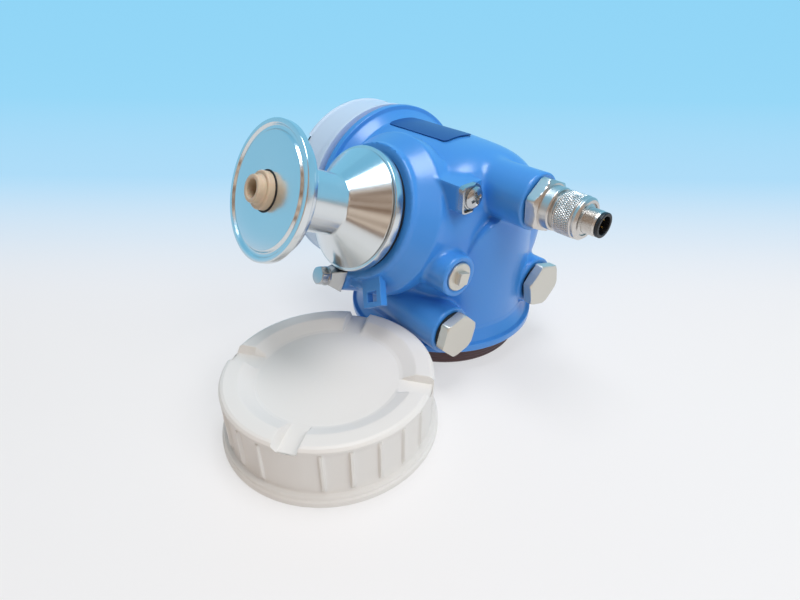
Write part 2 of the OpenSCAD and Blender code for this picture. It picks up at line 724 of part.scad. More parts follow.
module m12_sleeve() {
    color("#c4bfb6") at_conn(conn_hex_t + conn_collar_t + 1.7) rotate_extrude() polygon([
        [barrel_r + 1.65, 0], [sleeve_r - 0.7, 0], [sleeve_r, 0.7], [sleeve_r, sleeve_len - 3.4],
        [sleeve_r - 0.5, sleeve_len - 3], [sleeve_r - 0.5, sleeve_len - 2.6],
        [sleeve_r - 0.2, sleeve_len - 2.2],
        [sleeve_r - 0.2, sleeve_len - 1.2], [sleeve_r - 1.2, sleeve_len - 0.2],
        [barrel_r + 1.65, sleeve_len - 0.2]]);
}

module m12_insert() {
    h = conn_hex_t + conn_collar_t + 1.6 + sleeve_len + barrel_len;
    color("#17181a") at_conn() difference() {
        union() {
            translate([0, 0, h - 14]) cylinder(r = barrel_r - 1.05, h = 12.2);
            translate([0, 0, h - 1.8]) cylinder(r = barrel_r - 0.15, h = 1.8);
        }
        translate([0, 0, h - 7]) cylinder(r = barrel_r - 1.75, h = 8);
        translate([-0.6, barrel_r - 2.4, h - 7]) cube([1.2, 1.4, 8]);
        for (i = [0 : pins - 1]) rotate([0, 0, i * 360 / pins + 45])
            translate([barrel_r - 3.5, 0, h - 15]) cylinder(r = 0.5, h = 10, $fn = 24);
    }
}

module m12_pins() {
    h = conn_hex_t + conn_collar_t + 1.6 + sleeve_len + barrel_len;
    color("#d9b95a") at_conn() for (i = [0 : pins - 1]) rotate([0, 0, i * 360 / pins + 45])
        translate([barrel_r - 3.5, 0, h - 14]) {
            cylinder(r = 0.49, h = 11.6, $fn = 24);
            translate([0, 0, 11.6]) cylinder(r1 = 0.49, r2 = 0.25, h = 0.6, $fn = 24);
        }
}

// A blanking plug with a plain hexagon head, standing on its seal.
module plug_form(af) {
    difference() {
        union() {
            translate([0, 0, -plug_thread_len])
                cylinder(r = plug_thread_r, h = plug_thread_len + plug_seal_t + 1);
            translate([0, 0, plug_seal_t]) intersection() {
                hexagon(af, plug_head);
                cylinder(r1 = af * 0.5, r2 = af * 0.5 + plug_head, h = plug_head);
                cylinder(r1 = af * 0.535 + plug_head * 2, r2 = af * 0.535, h = plug_head);
            }
        }
        translate([0, 0, -plug_thread_len - 1]) cylinder(r = plug_thread_r - 3, h = plug_thread_len);
    }
}

module plug_seal_form() {
    tube(plug_thread_r + 1.9, plug_thread_r + turn_gap, plug_seal_t - turn_gap);
}

module plug_right() {
    color("#d5d2c8") in_body() to_ports(right_port, port_face_y)
        rotate([0, 0, 14]) plug_form(right_plug_af);
}

module plug_right_seal() {
    color("#1d2a44") in_body() to_ports(right_port, port_face_y) plug_seal_form();
}

module plug_left() {
    color("#d5d2c8") in_body() to_ports(left_port, port_face_y) rotate([0, 0, 4]) plug_form(left_plug_af);
}

module plug_left_seal() {
    color("#1d2a44") in_body() to_ports(left_port, port_face_y) plug_seal_form();
}

module small_plug() {
    color("#cfccc2") in_body() to_ports(small_port, small_face_y - 1) {
        translate([0, 0, -9]) cylinder(r = small_thread_r, h = 9.5);
        cylinder(r = small_plug_r, h = 1.2);
        translate([0, 0, 1.2]) cylinder(r1 = small_plug_r, r2 = small_plug_r - 0.5, h = 0.5);
        rotate([0, 0, 20]) translate([-2.9, -2.9, 0]) cube([5.8, 5.8, 4.4]);
    }
}

// Bare, curved to the drum.
module nameplate() {
    color("#1c3a63") in_body() intersection() {
        translate([0, -8, 0]) along_y() tube(drum_r + 0.05 + plate_t, drum_r + 0.05, plate_len);
        translate([-drum_r - 5, -9, -plate_w / 2]) cube([drum_r, plate_len + 2, plate_w]);
    }
}

housing();
process_adapter();
neck_ring();
neck_seal();
retaining_ring();
probe_bush();
bush_seal();
coupling_stud();
feed_insulator();
signal_cable();
electronics_module();
module_screws();
feedthrough();
terminal_block();
terminal_screws();
inner_ground_screw();
electronics_seal();
electronics_cover();
terminal_seal();
terminal_cover();
lock_screw();
lock_clamp();
ground_saddle();
ground_screw();
m12_body();
m12_sleeve();
m12_insert();
m12_pins();
plug_right();
plug_right_seal();
plug_left();
plug_left_seal();
small_plug();
nameplate();
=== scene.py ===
# %% [markdown]
# # A radar level transmitter lying on its open rim
# This lesson dresses a measured frame: a two-drum cast housing, a turned stainless clamp adapter, a
# screwed connector, blanking plugs and a cover that has been taken off. The frame says where
# everything is, so each piece is made in the frame's own place and never fitted by eye.

# %% Load the frame
import math

import bmesh
import bpy
import numpy as np
from mathutils import Matrix, Vector


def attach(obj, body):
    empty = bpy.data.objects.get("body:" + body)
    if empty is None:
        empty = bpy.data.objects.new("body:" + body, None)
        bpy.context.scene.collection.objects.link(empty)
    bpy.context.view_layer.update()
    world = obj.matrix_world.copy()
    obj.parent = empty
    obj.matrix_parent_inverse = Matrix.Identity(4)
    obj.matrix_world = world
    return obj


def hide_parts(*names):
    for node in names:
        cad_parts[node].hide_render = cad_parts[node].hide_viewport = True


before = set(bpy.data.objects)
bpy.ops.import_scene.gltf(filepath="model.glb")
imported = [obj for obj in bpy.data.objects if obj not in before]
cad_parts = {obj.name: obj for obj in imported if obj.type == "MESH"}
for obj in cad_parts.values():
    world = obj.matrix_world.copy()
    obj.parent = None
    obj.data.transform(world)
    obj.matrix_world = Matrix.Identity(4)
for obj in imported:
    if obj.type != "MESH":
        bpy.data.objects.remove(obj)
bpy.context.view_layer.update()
MM = 0.001  # the frame is in metres, the lesson counts in millimetres

# %% [markdown]
# ## Three ways of giving a place
# The process axis is the frame's Z. The housing's drums lean 24 degrees from it, so their own axes
# are used for everything cast into them: x out of the open drum, y out of the covered drum, z away
# from the neck. A port faces minus y. A place is kept as an origin and three directions, and every
# piece is worked out in millimetres around it, because a maker's drawing would do the same.

# %% The drums' own axes
TILT = math.radians(24)
CROSSING = np.array([-5.5, -4.4, 116.7])
BODY_AXES = np.array([
    [math.cos(TILT), 0, -math.sin(TILT)],
    [0, 1, 0],
    [math.sin(TILT), 0, math.cos(TILT)]])
PROCESS = (np.zeros(3), np.eye(3))
BODY = (CROSSING, BODY_AXES)


def inside(place, origin, x, y, z):
    """A place inside another: its origin and directions are first given in the outer place's own
    axes."""
    start, axes = place
    return start + axes @ np.array(origin, float), axes @ np.array([x, y, z], float).T


def put(points, place):
    """Points in a place's millimetres become the frame's metres: origin plus axes times point."""
    start, axes = place
    return (start + np.asarray(points, float) @ axes.T) * MM


def port(x, z, y=0.0):
    """A place on a port's axis: z outward along minus y, y along the drums' z."""
    return inside(BODY, (x, -y, z), (1, 0, 0), (0, 0, 1), (0, -1, 0))


# Each drum ends in a flange. These are the distances of the two flange faces from the drums' crossing.
FLANGE_X = 56.0
FLANGE_Y = 50.7
OPEN_END = inside(BODY, (FLANGE_X, 0, 0), (0, 0, -1), (0, 1, 0), (1, 0, 0))
REAR_END = inside(BODY, (0, FLANGE_Y, 0), (1, 0, 0), (0, 0, -1), (0, 1, 0))
print("open drum points along:", OPEN_END[1][:, 2].round(3))

# %% [markdown]
# ## From arrays to a mesh
# Every new piece is a grid: a profile of points carried round an axis or along a path. numpy works
# the grid out as whole arrays, one function turns it into faces, and doubled points are merged so
# that seams and poles close. A piece then rides on the body it moves with, and it may stand for a
# plain part of the frame.

# %% From a mesh to a piece
WELD = 2e-6  # points closer than this, in metres, are one point


def weld(mesh):
    """Merges points that lie on each other, so a seam closes and a pole becomes one point."""
    work = bmesh.new()
    work.from_mesh(mesh)
    bmesh.ops.remove_doubles(work, verts=work.verts, dist=WELD)
    work.to_mesh(mesh)
    work.free()


def add_piece(name, mesh, surface, body, stands_for=(), sharp=35.0):
    """Puts a mesh into the scene at the origin: welded, smooth below the sharp angle, and riding on
    its body."""
    piece = bpy.data.objects.new(name, mesh)
    bpy.context.scene.collection.objects.link(piece)
    weld(mesh)
    mesh.polygons.foreach_set("use_smooth", np.ones(len(mesh.polygons), bool))
    mesh.set_sharp_from_angle(angle=math.radians(sharp))
    mesh.materials.append(surface)
    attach(piece, body)
    if stands_for:
        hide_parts(*stands_for)
    return piece


def build(name, points, faces, surface, body, stands_for=(), sharp=35.0):
    """One piece from points in metres and the faces between them."""
    mesh = bpy.data.meshes.new(name)
    mesh.from_pydata(points.tolist(), [], faces.tolist())
    return add_piece(name, mesh, surface, body, stands_for, sharp)


def dressed(node, surface, body, edge):
    """A copy of a frame node stands for it, with its edges broken by a bevel of the given
    millimetres."""
    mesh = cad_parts[node].data.copy()
    mesh.materials.clear()
    piece = add_piece(node + "_dressed", mesh, surface, body, [node])
    bevel = piece.modifiers.new("broken edges", "BEVEL")
    bevel.width = edge * MM
    bevel.segments = 2
    bevel.limit_method = "ANGLE"
    bevel.angle_limit = math.radians(38)
    bevel.harden_normals = True


# %% Grids and turned profiles
def grid_faces(rows, columns, closed_rows=False, closed_columns=True):
    """Quads of a grid of rows times columns, each joining a point to its neighbours in both
    directions."""
    i = np.arange(rows if closed_rows else rows - 1)[:, None]
    j = np.arange(columns if closed_columns else columns - 1)[None, :]
    up, over = (i + 1) % rows, (j + 1) % columns
    corners = [i * columns + j, i * columns + over, up * columns + over, up * columns + j]
    return np.stack(np.broadcast_arrays(*corners), axis=-1).reshape(-1, 4)


ARC_STEPS = 4


def rounded(outline):
    """Replaces each corner that has a radius by an arc. Corners are (r, z) or (r, z, radius); the
    arc starts and ends radius / tan(half the corner's angle) from the corner."""
    points = [np.array(p[:2], float) for p in outline]
    radii = [p[2] if len(p) > 2 else 0.0 for p in outline]
    result = []
    for k, (corner, radius) in enumerate(zip(points, radii)):
        if radius <= 0 or k in (0, len(points) - 1):
            result.append(corner)
            continue
        back, ahead = points[k - 1] - corner, points[k + 1] - corner
        back, ahead = back / np.linalg.norm(back), ahead / np.linalg.norm(ahead)
        half = math.acos(np.clip(back @ ahead, -1, 1)) / 2
        middle = (back + ahead) / np.linalg.norm(back + ahead)
        centre = corner + middle * radius / math.sin(half)
        start = corner + back * radius / math.tan(half) - centre
        end = corner + ahead * radius / math.tan(half) - centre
        for s in np.linspace(0, 1, ARC_STEPS + 1):
            blend = start * (1 - s) + end * s
            result.append(centre + blend / np.linalg.norm(blend) * radius)
    return np.array(result)


def turned(name, outline, place, surface, body, stands_for=(), around=144, ripple=None,
           sharp=35.0):
    """Carries a profile of (r, z) once round the place's z. Going up the outside keeps the faces
    outward. ripple(r, z, angle) may add to the radius, for ribs, knurls and threads."""
    profile = rounded(outline)
    angle = np.linspace(0, 2 * math.pi, around, endpoint=False)
    r, z, a = profile[:, :1] + 0 * angle, profile[:, 1:] + 0 * angle, angle + 0 * profile[:, :1]
    if ripple:
        r = r + ripple(r, z, a)
    points = np.stack([r * np.cos(a), r * np.sin(a), z], axis=-1).reshape(-1, 3)
    faces = grid_faces(len(profile), around)
    build(name, put(points, place), faces, surface, body, stands_for, sharp)


# %% [markdown]
# ## Finishes
# A finish starts from what the real surface is: powder coat, turned steel, nickel, rubber or
# moulded plastic. Colours are written as sRGB hex and one function turns them linear, because the
# shader works in linear light. Patterns read Object coordinates, which are the frame's metres, so a
# noise of scale 1 / 0.0008 has grains of about 0.8 mm. An image of the surface could do the same,
# but a pattern that is worked out has no seams and keeps its real size on every piece.

# %% Node and colour helpers
def linear(text):
    """sRGB hex to linear: below 0.04045 divide by 12.92, above it ((c + 0.055) / 1.055) to the
    power 2.4."""
    channels = [int(text[k : k + 2], 16) / 255 for k in (1, 3, 5)]
    return [c / 12.92 if c <= 0.04045 else ((c + 0.055) / 1.055) ** 2.4 for c in channels] + [1.0]


def add(tree, kind, sockets=None, **settings):
    """Adds one node, sets its properties, and fills each named socket with a value or another
    node's output."""
    new = tree.nodes.new(kind)
    for key, value in settings.items():
        setattr(new, key, value)
    for key, value in (sockets or {}).items():
        if isinstance(value, bpy.types.NodeSocket):
            tree.links.new(value, new.inputs[key])
        else:
            new.inputs[key].default_value = value
    return new


def finish(name, colour, roughness, grain_mm=0.0, relief_mm=0.0, **sockets):
    """A new material with one Principled shader. A socket is named with underscores for its spaces.
    A grain size adds fine relief: noise with grains of that size, pressed into the shading by the
    height of the relief."""
    material = bpy.data.materials.new(name)
    material.use_nodes = True
    tree = material.node_tree
    tree.nodes.clear()
    values = {socket.replace("_", " "): value for socket, value in sockets.items()}
    shader = add(tree, "ShaderNodeBsdfPrincipled",
                 {"Base Color": linear(colour), "Roughness": roughness, **values})
    add(tree, "ShaderNodeOutputMaterial", {"Surface": shader.outputs[0]})
    if grain_mm:
        where = add(tree, "ShaderNodeTexCoord")
        press(tree, where.outputs["Object"], grain_mm, relief_mm, detail=2.0)
    return material


def press(tree, vector, grain_mm, relief_mm, detail):
    """Relief in the shading: a noise over the vector, with its height in millimetres, bends the
    normal."""
    settings = {"Vector": vector, "Scale": 1 / (grain_mm * MM), "Detail": detail}
    noise = add(tree, "ShaderNodeTexNoise", settings)
    bump = add(tree, "ShaderNodeBump", {"Height": noise.outputs[0], "Distance": relief_mm * MM})
    tree.links.new(bump.outputs[0], tree.nodes["Principled BSDF"].inputs["Normal"])


# %% [markdown]
# The casting and the covers are powder coated: plastic powder melts on the hot metal and sets with
# a faint orange peel. The blue is satin under a thin gloss, the off-white is flatter.

# %% Powder coats
BLUE = finish("blue powder coat", "#408BD8", 0.32, 1.2, 0.012, Coat_Weight=0.3, Coat_Roughness=0.16)
WHITE = finish("off-white powder coat", "#E4E1DC", 0.45, 1.1, 0.014, Specular_IOR_Level=0.4)
# The mounted cover has the same off-white coat, but its colour is painted bluer and darker: painted
# blue light and shade.
BLUE_LIT_WHITE = finish("white powder coat with painted blue light", "#C0D5EA", 0.5, 1.1, 0.014, Specular_IOR_Level=0.4)
print("powder coats:", BLUE.name, "/", WHITE.name, "/", BLUE_LIT_WHITE.name)

# %% [markdown]
# The adapter is stainless 316L, turned and polished. The tool leaves fine rings round the process
# axis, so the noise is read over (distance from the axis, height), which wraps it into rings. A
# radial tangent stretches the highlights across those rings, as on every turned part.

# %% Turned stainless
STAINLESS = finish(
    "turned stainless", "#DDE1E2", 0.2, Metallic=1.0, Anisotropic=0.6, Anisotropic_Rotation=0.25)
tree = STAINLESS.node_tree
where = add(tree, "ShaderNodeTexCoord")
parts = add(tree, "ShaderNodeSeparateXYZ", {"Vector": where.outputs["Object"]})
square_x = add(tree, "ShaderNodeMath", {0: parts.outputs[0], 1: 2.0}, operation="POWER")
square_y = add(tree, "ShaderNodeMath", {0: parts.outputs[1], 1: 2.0}, operation="POWER")
total = add(tree, "ShaderNodeMath", {0: square_x.outputs[0], 1: square_y.outputs[0]}, operation="ADD")
radius = add(tree, "ShaderNodeMath", {0: total.outputs[0], 1: 0.5}, operation="POWER")
rings = add(tree, "ShaderNodeCombineXYZ", {"X": radius.outputs[0], "Y": parts.outputs[2]})
press(tree, rings.outputs[0], 0.5, 0.004, detail=3.0)
grooves = add(tree, "ShaderNodeTangent", direction_type="RADIAL", axis="Z")
tree.links.new(grooves.outputs[0], tree.nodes["Principled BSDF"].inputs["Tangent"])
print("stainless nodes:", len(tree.nodes))

# %% [markdown]
# The small metal pieces differ in plating. Zinc-bright steel is neutral and sharp, nickel on brass
# is warmer, and the plugs are matt nickelled, so they look pale and even. The collars' threads are
# bare metal, and their dark, warm colour is painted shade with a painted reflection of the table.

# %% Small metal
STEEL = finish("bright steel hardware", "#C3C5C6", 0.2, 0.8, 0.006, Metallic=1.0)
NICKEL = finish("nickel-plated brass", "#D3CFCA", 0.3, 0.6, 0.005, Metallic=1.0)
PLUG = finish("machined nickel plug", "#D9D5CB", 0.42, 0.5, 0.008, Metallic=0.85)
# Bare thread metal whose colour is painted dark: painted shade and a painted reflection of the table.
SHADED_THREAD_METAL = finish("bare thread with painted shade", "#5F4E50", 0.42, Metallic=0.7)
GOLD = finish("gold-plated contact", "#D8B25A", 0.22, Metallic=1.0)
print("metals:", [metal.name for metal in (STEEL, NICKEL, PLUG, SHADED_THREAD_METAL, GOLD)])

# %% [markdown]
# Plastics and rubber are moulded, so one even colour is enough. The peek bush lets a little light
# in below its surface. The nameplate is aluminium foil under clear lacquer: dark blue, glossy and
# bare of print.

# %% Plastics, rubber and foil
PEEK = finish("beige peek", "#C9B59B", 0.42, Subsurface_Weight=0.12, Subsurface_Scale=0.002)
RUBBER = finish("black rubber seal", "#141517", 0.6)
RED_RUBBER = finish("red-brown silicone seal", "#7A2A1E", 0.5)
BLACK = finish("black moulded plastic", "#131417", 0.4)
GREEN = finish("green terminal plastic", "#2E7A46", 0.5)
POTTING = finish("green potting resin", "#1F4F42", 0.45)
PALE = finish("pale insulator plastic", "#E1DFD6", 0.5)
BROWN = finish("brown coaxial lead", "#6B4424", 0.45)
FOIL = finish(
    "dark blue lacquered foil", "#174E93", 0.42,
    Specular_IOR_Level=0.3, Coat_Weight=0.15, Coat_Roughness=0.2)
print("finishes:", len(bpy.data.materials))

# %% [markdown]
# ## The cast housing
# A casting has no sharp inner corners: drums, bosses and neck flow into each other with fillets. A
# distance field does that well. Each form is a formula that says how far a point is from its
# surface, a smooth minimum joins two forms with a fillet, and a surface net turns the zero level
# into quads. The net's points are then slid along the field's slope onto the true surface, so the
# steps of the grid don't show.

# %% Distance formulas, in millimetres
def rod(along, across, low, high, radius, edge=0.8):
    """Round rod with a rounded edge: the corner distance of (across - radius, along - ends), less
    the rounding."""
    a = across - radius + edge
    b = np.abs(along - (low + high) / 2) - (high - low) / 2 + edge
    return np.minimum(np.maximum(a, b), 0) + np.hypot(np.maximum(a, 0), np.maximum(b, 0)) - edge


def block(x, y, z, centre, size, edge=1.0):
    """Rounded block: distance outside half the size, less the rounding."""
    q = [np.abs(v - c) - s / 2 + edge for v, c, s in zip((x, y, z), centre, size)]
    outside = np.sqrt(sum(np.maximum(v, 0) ** 2 for v in q))
    return outside + np.minimum(np.maximum(np.maximum(q[0], q[1]), q[2]), 0) - edge


def joined(a, b, fillet):
    """Smooth minimum: the lower of two distances, lowered by up to a quarter of the fillet where
    they are equal."""
    h = np.clip(0.5 + 0.5 * (b - a) / fillet, 0, 1)
    return b + (a - b) * h - fillet * h * (1 - h)


def cut(a, b, edge=0.8):
    """Smooth difference: what is in a and outside b, with a small rounding on the edge."""
    return -joined(-a, b, edge)


def outline_distance(r, z, corners):
    """Distance to a closed outline in (r, z): the nearest side's distance, negative inside by the
    winding rule."""
    nearest = np.full(r.shape, 1e9)
    sign = np.ones(r.shape)
    for (r1, z1), (r0, z0) in zip(corners, corners[-1:] + corners[:-1]):
        er, ez = r0 - r1, z0 - z1
        wr, wz = r - r1, z - z1
        t = np.clip((wr * er + wz * ez) / (er * er + ez * ez), 0, 1)
        nearest = np.minimum(nearest, (wr - er * t) ** 2 + (wz - ez * t) ** 2)
        above, below, left = z >= z1, z < z0, er * wz > ez * wr
        flip = (above & below & left) | (~above & ~below & ~left)
        sign = np.where(flip, -sign, sign)
    return sign * np.sqrt(nearest)


# %% [markdown]
# The casting's sizes follow the frame's drawing: two drums of radius 50 and 50.5, four bosses for
# the ports, a neck that flares from 35 to 43.5, and the ground bar, the lug and the rib beside it.
# Some forms stand square to the drums and some to the process axis, so the field works out each
# point's place in both.

# %% Ports, neck and lock
PORT_FACE = 49.0  # how far the shorter bosses reach out of the drums' middle plane
# Each port's place: x and z of its axis.
PORTS = {
    "right": (30.5, 28.5),
    "left": (35.0, -41.0),
    "connector": (-31.0, -1.0),
    "small": (4.0, -37.0)}
# Each port's boss: y of its face, y of its root, its radius, the fillet at its foot, its hole's radius.
BOSSES = {
    "right": (-PORT_FACE, 0.0, 14.0, 2.2, 9.95),
    "left": (-PORT_FACE, 6.0, 13.0, 2.2, 9.95),
    "connector": (-64.0, -10.0, 14.3, 2.0, 9.95),
    "small": (-PORT_FACE, -10.0, 11.0, 2.6, 4.55)}
# The neck: the height of its lowest face, and its outline as (distance from the process axis, height).
NECK_Z = 57.7
NECK = [(-50, NECK_Z), (35.4, NECK_Z), (36.0, 60.7), (43.6, 69.4), (43.4, 78.0), (0, 92.0), (-50, 92)]
LOCK_SPOT = (38.5, 2.7)  # x and y of the locking screw, off the process axis


# %% Drums, rib and rooms
def drums(x, y, z):
    """Covered drum: a superellipse end of exponent 5 on a slightly tapered cylinder. Open drum: a
    cylinder, cut to an arch where it stands proud of the covered drum's end."""
    deep, arch_x, arch_r = 43.0, 6.0, 27.0
    front = np.maximum(-y, 0)
    taper = 50.0 - 0.05 * front
    covered = ((front / deep) ** 5 + (np.hypot(x, z) / taper) ** 5) ** 0.2 - 1
    covered = np.maximum(covered * deep, y - 47.0)
    arch = np.minimum(np.hypot(x - arch_x, z) - arch_r, arch_x - x)
    open_drum = cut(rod(x, np.hypot(y, z), -60, 53.5, 50.5, 0.2), -arch, 0.5)
    return joined(covered, open_drum, 1.0)


def rib(row, around):
    """A stretch of ring beside the neck: inside its width, its height and 18 degrees each way of
    its middle."""
    mm_per_degree = 0.6
    bearing = np.degrees(np.arctan2(row[1], row[0]))
    section = np.maximum(np.abs(around - 36.5) - 4.0, np.abs(row[2] - 63.8) - 3.4)
    return np.maximum(section, (np.abs(bearing + 14) - 18) * mm_per_degree)


def rooms(x, y, z):
    """Both compartments: a shallow round room with a deeper pocket, behind each of the two covers."""
    off_open, off_covered = np.hypot(y, z), np.hypot(x, z)
    pocket = np.maximum(rod(x, off_open, 22.0, 90, 43.5), y - 2.0)
    compartment = np.minimum(rod(x, off_open, 49.0, 90, 43.5), pocket)
    electronics = rod(y, off_covered, 8.0, 90, 43.0)
    front_room = np.maximum(rod(y, off_covered, -37.0, 12, 38.0), x - 9.0)
    return np.minimum(compartment, np.minimum(electronics, front_room))


# %% The casting as one field
def casting(x, y, z):
    """Distance to the casting for points in the drums' own millimetres: every outer form is joined
    with its fillet, and then the rooms and the bores are cut out."""
    row = [start + turn[0] * x + turn[1] * y + turn[2] * z for start, turn in zip(CROSSING, BODY_AXES)]
    around = np.hypot(row[0], row[1])
    off_lock = np.hypot(row[0] - LOCK_SPOT[0], row[1] - LOCK_SPOT[1])
    off_port = {side: np.hypot(x - px, z - pz) for side, (px, pz) in PORTS.items()}

    body = joined(drums(x, y, z), outline_distance(around, row[2], NECK), 1.8)
    for side, (face, root, radius, fillet, _) in BOSSES.items():
        body = joined(body, rod(y, off_port[side], face, root, radius), fillet)
    ground_bar = block(x, y, z, (-34, -29.3, -27), (13, 26.8, 16), 0.5)
    body = joined(body, ground_bar, 1.4)
    body = joined(body, rod(row[2], off_lock, NECK_Z, 74.5, 7.0), 2.0)
    body = joined(body, rib(row, around), 1.2)

    body = cut(body, rooms(x, y, z), 1.0)
    well = np.minimum(rod(row[2], around, 50, 72, 23.05, 0.1), rod(row[2], around, 70.8, 92, 26.4))
    recess = rod(y, off_port["small"], -60, -48, 8.3, 0.1)
    lock_bore = rod(row[2], off_lock, 50, 68, 3.05, 0.1)
    holes = [rod(y, off_port[side], -70, -22, BOSSES[side][4], 0.1) for side in PORTS]
    for hole in [well, recess, lock_bore, *holes]:
        body = cut(body, hole, 0.5)
    return body


# %% The zero level of a field as quads
def crossed_cells(values):
    """Numbers each grid cell that the surface crosses, and gives the mean of its edge crossings in
    grid steps."""
    cells = tuple(n - 1 for n in values.shape)
    total, count = np.zeros(cells + (3,)), np.zeros(cells)
    for axis, s, t in np.ndindex(3, 2, 2):
        near, far = [s, t], [s, t]
        near.insert(axis, 0)
        far.insert(axis, 1)
        a = values[tuple(slice(o, o + n) for o, n in zip(near, cells))]
        b = values[tuple(slice(o, o + n) for o, n in zip(far, cells))]
        crossed = (a < 0) != (b < 0)
        spot = np.zeros(cells + (3,))
        spot[:] = near
        spot[..., axis] = np.where(crossed, a / np.where(crossed, a - b, 1), 0)
        total += spot * crossed[..., None]
        count += crossed
    used = count > 0
    number = np.full(cells, -1)
    number[used] = np.arange(used.sum())
    return number, np.argwhere(used) + total[used] / count[used][:, None]


def settled(points, field, step):
    """Slides points onto the surface: p minus f times slope over slope squared, at most 0.4 of a
    step at a time."""
    nudge, rounds, least = 0.01, 4, 0.2
    for _ in range(rounds):
        slope = np.stack([
            (field(*(points + d).T) - field(*(points - d).T)) / (2 * nudge)
            for d in nudge * np.eye(3)], axis=1)
        move = field(*points.T)[:, None] * slope / np.maximum((slope**2).sum(1), least)[:, None]
        points = points - np.clip(move, -0.4 * step, 0.4 * step)
    return points


def net_quads(values, number):
    """One quad for each grid edge that the surface crosses, between the four cells round it, facing
    outward."""
    cells = number.shape
    faces = []
    for axis in range(3):
        edges = np.argwhere(np.diff(values < 0, axis=axis))
        u, v = (axis + 1) % 3, (axis + 2) % 3
        inner = (edges[:, [u, v]] > 0).all(1) & (edges[:, u] < cells[u]) & (edges[:, v] < cells[v])
        edges = edges[inner]
        corners = []
        for du, dv in ((0, 0), (-1, 0), (-1, -1), (0, -1)):
            cell = edges.copy()
            cell[:, u] += du
            cell[:, v] += dv
            corners.append(number[tuple(cell.T)])
        quads = np.stack(corners, axis=1)
        enters = values[tuple(edges.T)] >= 0
        quads[enters] = quads[enters][:, ::-1]
        faces.append(quads)
    return np.concatenate(faces)


def surface_net(field, low, high, step):
    """Points and quads of the field's zero level between two corners: one point for each crossed
    cell."""
    axes = [np.arange(a, b + step, step) for a, b in zip(low, high)]
    values = field(*np.meshgrid(*axes, indexing="ij"))
    number, points = crossed_cells(values)
    points = points * step + np.array([axis[0] for axis in axes])
    return settled(points, field, step), net_quads(values, number)


# %% Housing
NET_STEP = 1.06
net_points, net_faces = surface_net(casting, (-54, -67, -79), (57, 52, 54), NET_STEP)
build("housing_casting", put(net_points, BODY), net_faces, BLUE, "head",
      ["housing"], sharp=50)
print("casting:", len(net_faces), "quads")

# %% [markdown]
# The eye beside the neck is a flat plate with a rectangular window. Its section is a rectangle that
# is carried round the window, so the plate is one closed ring.

# %% Eye plate
EYE_TURN = math.radians(-32)
EYE_OUT = (math.cos(EYE_TURN), math.sin(EYE_TURN), 0)
EYE_ALONG = (-math.sin(EYE_TURN), math.cos(EYE_TURN), 0)
EYE_PLACE = inside(PROCESS, (0, 0, 61.9), EYE_OUT, EYE_ALONG, (0, 0, 1))
HALF_THICK = 2.2
outer = [(33.0, -6.8), (50.5, -6.8), (50.5, 6.8), (33.0, 6.8)]
window = [(42.6, -3.5), (47.7, -3.5), (47.7, 3.5), (42.6, 3.5)]
sections = [
    [(*a, -HALF_THICK), (*a, HALF_THICK), (*b, HALF_THICK), (*b, -HALF_THICK)]
    for a, b in zip(outer, window)]
points = put(np.array(sections).reshape(-1, 3), EYE_PLACE)
faces = grid_faces(4, 4, closed_rows=True)[:, ::-1]
eye = build("lifting_eye", points, faces, BLUE, "head")
broken = eye.modifiers.new("cast edges", "BEVEL")
broken.width, broken.segments = 0.6 * MM, 3
print("eye:", len(faces), "faces before its edges are broken")

# %% [markdown]
# The two cover ends are turned on the casting, so they are crisp: a flange, an O-ring groove at the
# root and a threaded collar. A thread is a ripple that moves along the axis by one pitch for each
# turn.

# %% Flanges and threaded collars
COLLAR = 14.0  # length of a collar
COLLAR_R = 48.4
PITCH = 2.0
SHOULDER = 6.4  # the covered drum's flange has a step for its cover


def collar_thread(r, z, angle):
    """Triangle wave 0.45 deep in z / pitch - angle / one turn, only on the collar's outside."""
    phase = (z / PITCH - angle / (2 * math.pi)) % 1.0
    on_thread = (r > COLLAR_R - 0.6) & (r < COLLAR_R + 0.1) & (z > 3.0) & (z < COLLAR - 1.2)
    return np.where(on_thread, -0.9 * np.abs(phase - 0.5), 0.0)


def cover_end(name, place, drum, bore, floor, shoulder=0.0, clear_of=None):
    """Flange and shoulder as one turned ring, the groove and threaded collar as another. Where the
    other drum's end crosses it, the flange is held inside that face: r no more than face /
    cos(angle)."""

    def relief(r, z, angle):
        ripple = collar_thread(r, z - shoulder, angle)
        if clear_of:
            held = np.minimum(r, clear_of / np.maximum(np.cos(angle), 0.5)) - r
            ripple = np.where(np.cos(angle) > 0.5, held, 0) + ripple
        return ripple

    low, high = shoulder + 3.2, shoulder + COLLAR - 1.2
    root = COLLAR_R - 1.2
    thread = [(COLLAR_R, v) for v in np.arange(low, high, PITCH / 8)]
    step = [(51.4, 0.0), (51.4, shoulder, 0.4)] if shoulder else []
    flange = [
        (bore + 0.05, floor), (drum - 0.4, -13.0), (drum + 0.06, -12.6), (drum + 0.3, -10.5, 4),
        (54.0, -4.6, 1.2), (56.5, -4.2, 0.6), (56.5, 0, 0.6), *step, (root - 0.1, shoulder, 0.1),
        (root - 0.1, shoulder - 0.4), (bore + 0.05, shoulder - 0.4), (bore + 0.05, floor)]
    turned(name, flange, place, BLUE, "head", ripple=relief, around=216)
    collar = [
        (bore, shoulder - 0.8), (root, shoulder - 0.8), (root, shoulder + 2.6, 0.2),
        (COLLAR_R, shoulder + 2.8), *thread, (COLLAR_R, high), (COLLAR_R - 0.9, high + 1.2, 0.25),
        (bore + 0.4, high + 1.2, 0.4), (bore, high + 0.4), (bore, shoulder - 0.8)]
    turned(name + "_collar", collar, place, SHADED_THREAD_METAL, "head", ripple=relief, around=216)


cover_end("open_cover_end", OPEN_END, drum=50.5, bore=43.46, floor=-7.2)
cover_end("rear_cover_end", REAR_END, drum=50.0, bore=42.96, floor=-14.0, shoulder=SHOULDER,
          clear_of=FLANGE_X - 0.2)
print("collars:", COLLAR, "mm long, pitch", PITCH)

